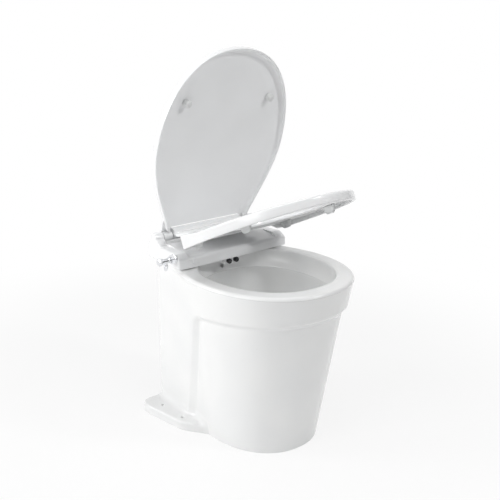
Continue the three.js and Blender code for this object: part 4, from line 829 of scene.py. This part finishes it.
def ear(side):
    """An ear that reaches further out in front, with a round outer edge."""
    rings = [[(side * EAR_IN, y, z) for y, z in ear_profile(0)]]
    for rise, fall in arc(6):
        ring = []
        for y, z in ear_profile(EAR_EDGE * 0.7 * rise):
            reach = mix(EAR_REAR, EAR_FRONT, (BASE_REAR - y) / (BASE_REAR - BASE_FRONT))
            ring.append((side * (reach - EAR_EDGE * fall), y, z))
        rings.append(ring)
    return skin("ear", rings)


def bar(name, outline, half):
    """A profile pushed along x to both sides."""
    return skin(name, [[(x, y, z) for y, z in outline] for x in (-half, half)])


# %% The base, from its solids
def hinge_base():
    body = bar("base_shell", base_profile(0, BASE_LOW), EAR_IN + 0.5)
    cut(body, bar("inside", base_profile(BASE_WALL, BASE_LOW - 6), EAR_IN - BASE_WALL))
    cut(body, ear(-1), ear(1), operation="UNION")
    bolts = [(side * BOLT_X, REAR - BOLT_DEPTH) for side, _ in SIDES]
    cut(body, *[drill("boss", 8, 0, 28, (x, y, 397.2), UP, 32) for x, y in bolts], operation="UNION")
    tools = [drill("well", 4.3, 0, 30, (x, y, 388.6), UP, 32) for x, y in bolts]
    tools += [drill("pin_hole", 5.3, 0, 18.3, (side * 128, HINGE_Y, HINGE_Z), (side, 0, 0), 32)
              for side, _ in SIDES]
    return cut(body, *tools, angle=30)


base = fitted(hinge_base(), "seat_plastic", replaced=("hinge_base",))
print("hinge base faces", len(base.data.polygons))

# %% [markdown]
# A round plug closes the drain of the base's front face. It is turned from one profile with a rolled edge and
# a shallow dish, so that it catches a ring of light.

# %% The plug on the front face
plug = turned("plug", [(0, 0), (7, 0), (7, 1.1), (6.6, 1.7), (5.9, 2), (5.2, 1.9), (4.6, 1.4), (0, 1.4)],
              (-117, BASE_FRONT - 0.3, 408.6), (0, -1, 0), 48)
fitted(plug, "seat_plastic", replaced=("front_plug",))

# %% [markdown]
# ## The seat
# The seat is drawn closed, about the hinge line, and then turned up to the photographed angle.
# At each station the ring has the same section: a rolled outer edge, a crowned top that slopes into the
# opening, and a hollow underside behind a skirt. Only its width and thickness change round the ring, and over
# the base the skirt ends in a soft step.

# %% Drawn closed, shown open
SEAT_OPEN, LID_OPEN = 24.0, 75.5


def opened(points, degrees):
    """Turns (x, run ahead of the hinge, height over it) about the hinge line into the frame."""
    points = np.asarray(points, float)
    turn = math.radians(degrees)
    run, rise = points[..., 1], points[..., 2]
    return np.stack([points[..., 0], HINGE_Y - run * math.cos(turn) + rise * math.sin(turn),
                     HINGE_Z + run * math.sin(turn) + rise * math.cos(turn)], -1)


def seat_plan(half, front, widest, rear_half, rear, corner):
    pulls = (half, mix(widest, rear, 1 / 3)), (mix(half, rear_half, 2 / 3), mix(widest, rear, 2 / 3))
    return closed_plan(half, widest, front, rear_half, rear, corner, pulls, (40, 44, 8, 10))


# %% The ring of the seat
SEAT_HALF, SEAT_FRONT, SEAT_WIDEST, SEAT_REAR_HALF, SEAT_REAR, SEAT_CORNER = 174, 430, 213, 163, 113, 14
HOLE_HALF, HOLE_MID, HOLE_AHEAD, HOLE_BEHIND = 113, 272, 112.0, 106.0
TOP_REAR, TOP_FRONT, UNDER_REAR, UNDER_FRONT = -16.0, -25.0, -49.0, -46.0
UNDER_BRIDGE, HOLLOW = -38.8, -37.6
EDGE, INNER_EDGE = 5, 13
SMOOTH_PLASTIC = 34


def seat_ring():
    outer = seat_plan(SEAT_HALF, SEAT_FRONT, SEAT_WIDEST, SEAT_REAR_HALF, SEAT_REAR, SEAT_CORNER)
    over_base = (outer[:, 1] < SEAT_REAR + 0.3) * (1 - smooth(np.abs(outer[:, 0]), 103, 123))

    def top(run):
        return mix(TOP_REAR, TOP_FRONT, smooth(run, SEAT_REAR, 203))

    def hollow(run):
        return np.full_like(run, HOLLOW)

    def under(run):
        straight = mix(UNDER_REAR, UNDER_FRONT, (run - SEAT_REAR) / (SEAT_FRONT - SEAT_REAR))
        return mix(straight, UNDER_BRIDGE, over_base)

    turn = np.arctan2(outer[:, 0], outer[:, 1] - HOLE_MID)
    reach = np.where(np.cos(turn) > 0, HOLE_AHEAD, HOLE_BEHIND)
    inner = np.stack([HOLE_HALF * np.sin(turn), HOLE_MID + reach * np.cos(turn)], 1)
    width = np.linalg.norm(outer - inner, axis=1)
    section = [("out", 3 * fall, under, 3 * rise) for rise, fall in arc(5)]
    section += [("out", EDGE * rise, top, -EDGE * fall) for rise, fall in arc(8)]
    section += [("mid", share, top, 0.0) for share in (0.2, 0.45, 0.7)]
    section += [("in", INNER_EDGE * fall, top, -10 * rise ** 1.15) for rise, fall in arc(9)]
    section += [("in", 2.5 * rise, hollow, 2.5 * fall) for rise, fall in arc(5)]
    section += [("in", 8.0, hollow, 0.0), ("out", 12.0, hollow, 0.0), ("out", 9.5, hollow, -0.8),
                ("out", 8.4, under, 1.2), ("out", 7.4, under, 0.2), ("out", 5.0, under, 0.0)]
    rings = []
    for kind, value, level, rise in section:
        if kind == "out":
            share = value / width
        elif kind == "in":
            share = 1 - value / width
        else:
            share = mix(float(EDGE), width - INNER_EDGE, value) / width
        flat = mix(outer, inner, share[:, None])
        rings.append(np.column_stack([flat[:, 0], flat[:, 1], level(flat[:, 1]) + rise]))
    return skin("seat_shell", opened(rings, SEAT_OPEN), endless=True)


# %% The bridge and the barrel
BRIDGE_RUNS = (0, 12, 24, 33, 36, 38.5, 41, 44, 47, 50, 60, 80, 100, 113, 129)
BRIDGE_TOP = (0, 17, 26, 113, 129), (7, 2.2, 1.4, -16, -16.4)
BRIDGE_HALF = (0, 36, 41, 50, 80, 129), (102, 102, 108, 124, 124, 124)
BRIDGE_THICK = 8
HUB = ((44, -2.4), (17.2, 1.8), (15.5, 8), (9, 15), (0, 17.6), (-9, 15), (-15, 8), (-14, 0), (-8, -4), (8, -4),
       (44, -8))


def seat_bridge():
    """A sheet that rises from the ring to the barrel, narrower where the lid's knuckles turn."""
    rings = []
    for run in BRIDGE_RUNS:
        z, half = np.interp(run, *BRIDGE_TOP), np.interp(run, *BRIDGE_HALF)
        corners = [(-half, z - BRIDGE_THICK), (half, z - BRIDGE_THICK), (half, z), (-half, z)]
        rings.append([(x, run, height) for x, height in rounded(corners, [1.2, 1.2, 2.6, 2.6], 4)])
    return skin("bridge", opened(rings, SEAT_OPEN))


def seat_hub():
    """The raised back of the bridge. It stays inside the circle that the edge of the lid's notch sweeps."""
    outline = rounded(HUB, [3, 2, 4, 5, 6, 5, 4, 3, 2, 2, 2], 3)
    rings = [[(x, run * (1 - inset), z * (1 - inset)) for run, z in outline]
             for x, inset in ((-101.8, 0.06), (-101, 0), (101, 0), (101.8, 0.06))]
    return skin("hub", opened(rings, SEAT_OPEN))


def seat():
    shell = seat_ring()
    barrel = turned("barrel", [(10.2, -102), (11, -101.2), (11, 101.2), (10.2, 102)], HINGE, ACROSS)
    cut(shell, seat_bridge(), barrel, seat_hub(), operation="UNION")
    bores = [drill("bore", 8.3, 0, 60, (side * 55.1, HINGE_Y, HINGE_Z), (side, 0, 0), 40) for side, _ in SIDES]
    return cut(shell, *bores, angle=SMOOTH_PLASTIC)


seat_piece = fitted(seat(), "seat_plastic", "seat", ("seat",))
print("seat faces", len(seat_piece.data.polygons))

# %% [markdown]
# Four milky buffers under the ring stop it on the rim. From the side each is half an oval, so the pad is
# drawn as rings that shrink faster and faster towards its foot.

# %% The seat's buffers
PAD_TOP, PAD_FOOT, PAD_SLOPE = -38.0, -51.6, 0.8
PAD_PLACES = ("front", 296, 122), ("rear", 137, 131)


def oblong_pad(name, x, run):
    foot = PAD_FOOT - run * math.tan(math.radians(PAD_SLOPE))
    rings = []
    for down in np.sin(quarter(9)):
        lean = 1 - math.sqrt(1 - (0.94 * down) ** 2)
        ring = []
        for turn in circle(48):
            out = max(abs(math.cos(turn)), 1e-3) ** 0.45
            ring.append((x + 5 * (1 - 0.5 * lean) * math.sin(turn),
                         run + math.copysign(out, math.cos(turn)) * (18 - 13 * lean), mix(PAD_TOP, foot, down)))
        rings.append(ring)
    return skin(name, opened(rings, SEAT_OPEN))


for side, label in SIDES:
    for place, run, x in PAD_PLACES:
        pad = oblong_pad(f"pad_{place}_{label}", side * x, run)
        fitted(pad, "buffer_rubber", "seat", (f"seat_buffer_{place}_{label}",))
print("seat buffers", len(SIDES) * len(PAD_PLACES))

# %% [markdown]
# ## The lid
# The lid is a shallow tray: a crowned plate with a lip all round. Rings drawn inward from its edge give the
# crown, the lip and the round fillet inside it, then the notch for the seat's barrel is cut and the two
# knuckles are joined on.

# %% The tray
LID_TILT, LID_LIFT = 2.6, 5
LID_HALF, LID_FRONT, LID_WIDEST, LID_REAR_HALF, LID_REAR, LID_CORNER = 182, 442, 215, 122, 10, 16
LIP = -12
CROWN_END, UNDERSIDE, FILLET = 60, 1.5, 11


def lid_plan(inset):
    return seat_plan(LID_HALF - inset, LID_FRONT - inset, LID_WIDEST, LID_REAR_HALF - inset, LID_REAR + inset,
                     max(LID_CORNER - inset / 2, 2))


def tilted(points):
    """The closed lid lies nose down, and its plate is a little over the hinge line."""
    points = np.asarray(points, float)
    turn = math.radians(LID_TILT)
    run, rise = points[..., 1], points[..., 2]
    return np.stack([points[..., 0], run * math.cos(turn) + rise * math.sin(turn),
                     LID_LIFT - run * math.sin(turn) + rise * math.cos(turn)], -1)


def lid_tray():
    """Pairs of (inset, height): up the lip and over the crown, then the underside and down inside the lip."""
    upper = [(4.0, LIP)]
    upper += [(1.2 * rise, LIP + 1.2 * fall) for rise, fall in arc(4)[::-1]]
    upper += [(0.0, -6.0), (0.0, 0.5)]
    upper += [(2.6 * rise, 4 - 2.4 * fall) for rise, fall in arc(7)]
    upper += [(inset, 4 + 3 * (1 - (1 - (inset - 2.6) / 57.4) ** 2.4)) for inset in (5, 9, 14, 21, 30, 42, 52)]
    upper += [(CROWN_END, 7.0), (90.0, 7.0)]
    under = [(90.0, UNDERSIDE), (CROWN_END, UNDERSIDE)]
    under += [(inset, UNDERSIDE * (1 - ((CROWN_END - inset) / 45) ** 2.2)) for inset in (48, 36, 26, 20)]
    under += [(5 + FILLET * rise, -FILLET / 2 * fall) for rise, fall in arc(9)[::-1]]
    under += [(5.0, -8.0), (5.0, -11.2), (4.8, -11.8)]
    rings = [np.column_stack([plan, np.full(len(plan), z)])
             for plan, z in ((lid_plan(inset), z) for inset, z in upper + under)]
    return skin("lid_shell", opened(tilted(rings), LID_OPEN), endless=True, split=len(upper))


# %% The notch and the knuckles
NOTCH_HALF, NOTCH_END, ROOM = 103.6, 20, 18.6
KNUCKLE_IN, KNUCKLE_OUT = 104, 128


def lid_block(half, start, end, heights):
    return [[(-half, start, z), (half, start, z), (half, end, z), (-half, end, z)] for z in heights]


def knuckle(side):
    low, high = sorted((side * KNUCKLE_IN, side * KNUCKLE_OUT))
    outline = rounded([(0, 11), (0, 3.7), (36, 3), (50, 3), (50, 7), (36, 9)], [0, 0, 0, 1.5, 1.5, 4])
    arm = skin("knuckle", [opened([(x, run, z) for run, z in outline], LID_OPEN) for x in (low, high)])
    eye = turned("eye", [(10.4, low), (11, low + 0.6), (11, high - 0.6), (10.4, high)], HINGE, ACROSS, 48)
    return cut(arm, eye, operation="UNION")


def lid():
    tray = lid_tray()
    cut(tray, skin("notch", opened(lid_block(NOTCH_HALF, -60, NOTCH_END, (-24, 24)), LID_OPEN)),
        skin("rear_open", opened(tilted(lid_block(112, -30, NOTCH_END, (-18, -0.3))), LID_OPEN)))
    cut(tray, knuckle(-1), knuckle(1), operation="UNION")
    return cut(tray, drill("bore", 5.3, -134, 134, HINGE, ACROSS, 40),
               drill("room", ROOM, -103.8, 103.8, HINGE, ACROSS), angle=SMOOTH_PLASTIC)


lid_piece = fitted(lid(), "seat_plastic", "lid", ("lid",))
print("lid faces", len(lid_piece.data.polygons))

# %% [markdown]
# Two round buffers stand on the lid's inside. Their domed tips rest on the seat when the lid is closed.

# %% The lid's buffers
STUD_X, STUD_RUN = 118, 323
stud_top = LID_LIFT - math.sin(math.radians(LID_TILT)) * STUD_RUN - 0.3
dome = [(max(6.5 * math.sin(turn), THIN), -24.7 + 1.6 * (1 - math.cos(turn))) for turn in quarter(5)]
for side, label in SIDES:
    rings = []
    for radius, height in dome + [(7.4, -22.4), (8, -21.4), (8, stud_top)]:
        rings.append([(side * STUD_X + radius * math.cos(turn), STUD_RUN + radius * math.sin(turn), height)
                      for turn in circle(40)])
    fitted(skin(f"stud_{label}", opened(rings, LID_OPEN)), "buffer_rubber", "lid", (f"lid_buffer_{label}",))
print("lid buffers", len(SIDES))

# %% [markdown]
# ## The water inlet
# The inlet on the left is chromed brass: a threaded collar, a tee with a hose branch and a knurled cap.
# A thread at this size is a row of fine rings on the turned profile; the knurl is a cap with a toothed rim.

# %% The inlet
INLET_Y, INLET_Z = REAR - 146, 418.0
OUTWARD, DOWN = (-1, 0, 0), (0, 0, -1)
THREADS, PITCH, ROOT, CREST = 4, 1.7, 9.3, 10.1
TEETH, TOOTH, TOOTH_STEPS = 28, 0.5, 4


def inlet_ends(node):
    """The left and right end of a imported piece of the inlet, and the point where its profile starts."""
    low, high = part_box(node)
    return low.x / MM, high.x / MM, (high.x / MM, INLET_Y, INLET_Z)


def toothed(name, start, profile):
    """A turned piece whose rim is toothed; the profile holds (radius, length, share of the teeth)."""
    rings = []
    for radius, length, share in profile:
        ring = []
        for turn in circle(TEETH * TOOTH_STEPS):
            r = max(radius - TOOTH * share * (0.5 - 0.5 * math.cos(turn * TEETH)), THIN)
            ring.append((start[0] - length, INLET_Y + r * math.cos(turn), INLET_Z + r * math.sin(turn)))
        rings.append(ring)
    return skin(name, rings, angle=40)


low, high, start = inlet_ends("inlet_collar")
length = high - low
thread = [(0, 0), (11, 0), (11, 2.2), (10.2, 2.9)]
for k in range(THREADS):
    thread += [(ROOT, 3.3 + PITCH * k), (CREST, 4.1 + PITCH * k)]
thread += [(ROOT, length - 0.6), (8.8, length), (0, length)]
fitted(turned("collar", thread, start, OUTWARD, 48), "chrome", replaced=("inlet_collar",))

low, high, start = inlet_ends("inlet_tee")
length = high - low
middle = ((low + high) / 2, INLET_Y, INLET_Z)
tee = turned("tee", [(0, 0), (5.9, 0), (6.5, 0.6), (6.5, 5), (5.4, 6), (5.4, length - 6), (6.5, length - 5),
                     (6.5, length - 0.6), (5.9, length), (0, length)], start, OUTWARD, 48)
branch = turned("branch", [(4.4, 0), (4.4, 9), (5, 10), (5, 11.5), (4.5, 12.6), (5, 13.2), (5, 14.7),
                           (4.5, 15.8), (5, 16.4), (5, 18), (4.6, 19), (4.4, 21.5)], middle, DOWN, 40)
cut(tee, branch, operation="UNION")
cut(tee, drill("tee_bore", 3.5, 4, 30, middle, DOWN, 32))
fitted(tee, "chrome", replaced=("inlet_tee",))

low, high, start = inlet_ends("inlet_cap")
cap = toothed("cap", start, [(0, 0, 0), (7.8, 0, 0), (8.5, 0.7, 1), (8.5, 5.4, 1), (7.9, 6.2, 0.4),
                             (6.8, 7.2, 0), (5.2, 7.8, 0), (3.0, 8.0, 0), (0, 8.0, 0)])
fitted(cap, "chrome", replaced=("inlet_cap",))
print("inlet from x", round(high, 1), "to", round(low, 1))

# %% [markdown]
# ## The bidet nozzles
# Two black nozzles look out of a white guard under the base. Each is a tube with a rounded mouth and a small
# jet hole on top, and a pale ring sits behind each mouth.

# %% Nozzles and guard
TILT = math.radians(8)
NOZZLE = Vector((0, math.cos(TILT), math.sin(TILT)))
NOZZLE_X, NOZZLE_Y, NOZZLE_Z = 10.5, REAR - 158, 384.1
NOZZLE_PROFILE = [(0, 0.9), (3.2, 0.9), (3.6, 0.2), (4.4, 0), (5.3, 0.5), (5.9, 1.7), (6, 2.6), (6, 5),
                  (5.5, 5.4), (5.5, 6.6), (6, 7), (6, 25.6), (5.6, 26), (0, 26)]

mouths = [Vector((side * NOZZLE_X, NOZZLE_Y, NOZZLE_Z)) for side, _ in SIDES]
for mouth, (_, label) in zip(mouths, SIDES):
    tube = turned(f"jet_{label}", NOZZLE_PROFILE, mouth, NOZZLE, 40)
    cut(tube, drill("jet_hole", 2, 0, 14, mouth + NOZZLE * 6.5, UP, 24))
    fitted(tube, "black_plastic", replaced=(f"nozzle_{label}",))

low, high = packed_box("nozzle_guard")
outline = rounded([(low.x, low.z), (high.x, low.z), (high.x, high.z), (low.x, high.z)], [5, 5, 0.5, 0.5], 6)
guard = skin("guard", [[(x, y, z) for x, z in outline] for y in (low.y, high.y)])
cut(guard, *[drill("mouth", 6.3, -40, 60, mouth, NOZZLE, 40) for mouth in mouths])
fitted(guard, "seat_plastic", replaced=("nozzle_guard",))
print("guard", round(high.x - low.x), "wide")

# %% [markdown]
# The bowl's own rinse comes out of a white spray head on the rear wall. Its domed face holds a ring of fine
# holes, each cut with a thin cylinder.

# %% The rinse spray head
JETS, JET_RING, JET_RADIUS = 6, 3.2, 0.6

low, high = packed_box("rinse_nozzle")
middle = (low + high) / 2
length = high.y - low.y
head = [(0, 0), (2.2, 0.1), (4.4, 0.6), (5.9, 1.6), (6.7, 3.0), (6.9, 4.6), (6.9, length - 4.2),
        (11.4, length - 4), (12, length - 3.4), (12, length - 0.6), (11.4, length), (0, length)]
spray = turned("spray", head, (middle.x, low.y, middle.z), BACK, 48)
holes = [(JET_RING * math.cos(turn), JET_RING * math.sin(turn)) for turn in circle(JETS)] + [(0, 0)]
cut(spray, *[drill("jet", JET_RADIUS, -2, 3, (middle.x + x, low.y, middle.z + z), BACK, 12) for x, z in holes])
fitted(spray, "seat_plastic", replaced=("rinse_nozzle",))
print("spray head", round(length), "long, holes", len(holes))

# %% [markdown]
# ## The motor and the hose spigot
# Through the rear window the enamelled motor shows, with rolled grooves round its can, a vented end cap and
# the barbed spigot for the hose. All three are turned profiles, and the vents and bores are cut afterwards.

# %% Turned pieces along the pump's axis
SHAFT_HOLE, SPIGOT_BORE = 5.6, 15.9
VENTS, VENT_RING, VENT_RADIUS = 6, 22.8, 4.4
BARBS, BARB_PITCH = 4, 8.2


def turned_along_y(name, node, profile, slot, bore, vents=0):
    """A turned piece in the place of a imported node, with a bore and a ring of vents right through it."""
    low, high = packed_box(node)
    middle = (low + high) / 2
    start = Vector((middle.x, low.y, middle.z))
    through = high.y - low.y + 2
    piece = turned(name, profile, start, BACK, 72)
    tools = [drill("bore", bore, -2, through, start, BACK, 37)]
    for turn in circle(vents):
        place = start + Vector((VENT_RING * math.cos(turn), 0, VENT_RING * math.sin(turn)))
        tools.append(drill("vent", VENT_RADIUS, -2, through, place, BACK, 20))
    cut(piece, *tools)
    fitted(piece, slot, replaced=(node,))


turned_along_y("motor_can", "motor_body",
               [(0, 0), (40.4, 0), (41, 0.6), (41, 5.4), (40.4, 6), (37.6, 6.2), (37.6, 9), (38, 9.6), (38, 16),
                (37.3, 16.8), (37.3, 20), (38, 20.8), (38, 70), (37.3, 70.8), (37.3, 74), (38, 74.8), (38, 86),
                (37.4, 89.6), (35.8, 92), (0, 92)], "motor_paint", SHAFT_HOLE)
turned_along_y("motor_cap", "motor_end_cap",
               [(0, 0), (37, 0), (38, 0.8), (38, 8), (37, 10.4), (34.5, 12), (16, 12), (14.5, 10.8), (9, 10.8),
                (7.8, 12), (0, 12)], "black_plastic", SHAFT_HOLE, VENTS)
barbs = [(0, 0), (18, 0), (18.6, 0.6)]
for k in range(BARBS):
    for radius, height in ((18.6, 5), (19.5, 5.6), (19.5, 7), (18.2, 11.4)):
        barbs.append((radius, height + BARB_PITCH * k))
barbs += [(18.2, 38.6), (17.2, 40), (0, 40)]
turned_along_y("spigot", "discharge_spigot", barbs, "black_plastic", SPIGOT_BORE)
print("turned pump pieces 3")

# %% [markdown]
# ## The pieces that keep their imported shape
# Pads, bolts, pins and the pump are seen only through the rear window or from below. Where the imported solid
# is already the right shape it stays, and takes the finish of its own material.

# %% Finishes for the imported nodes
BY_NAME = (
    ("seat_plastic", ("base_plate",)),
    ("black_rubber", ("outlet_gasket", "bracket_pad", "deck_washer", "base_pad")),
    ("pump_plastic", ("macerator", "discharge_elbow", "rinse_nozzle")),
    ("motor_paint", ("motor_body",)),
    ("black_plastic", ("motor_end_cap", "discharge_valve", "discharge_spigot", "solenoid_valve", "rinse_hose",
                       "damper", "deck_nut", "impeller")),
    ("steel", ("motor_bracket", "cutter_plate", "cover_screw", "deck_bolt", "hinge_pin", "motor_shaft",
               "chopper_blade", "solenoid_coil")),
    ("ceramic", ("pedestal", "bowl")),
    ("chrome", ("inlet",)),
)
for name, node in nodes.items():
    slot = next((slot for slot, starts in BY_NAME if name.startswith(starts)), "seat_plastic")
    finishes = node.data.materials
    if not finishes:
        finishes.append(None)
    for place in range(len(finishes)):
        finishes[place] = FINISHES[slot]
print("packed nodes with a finish", len(nodes))
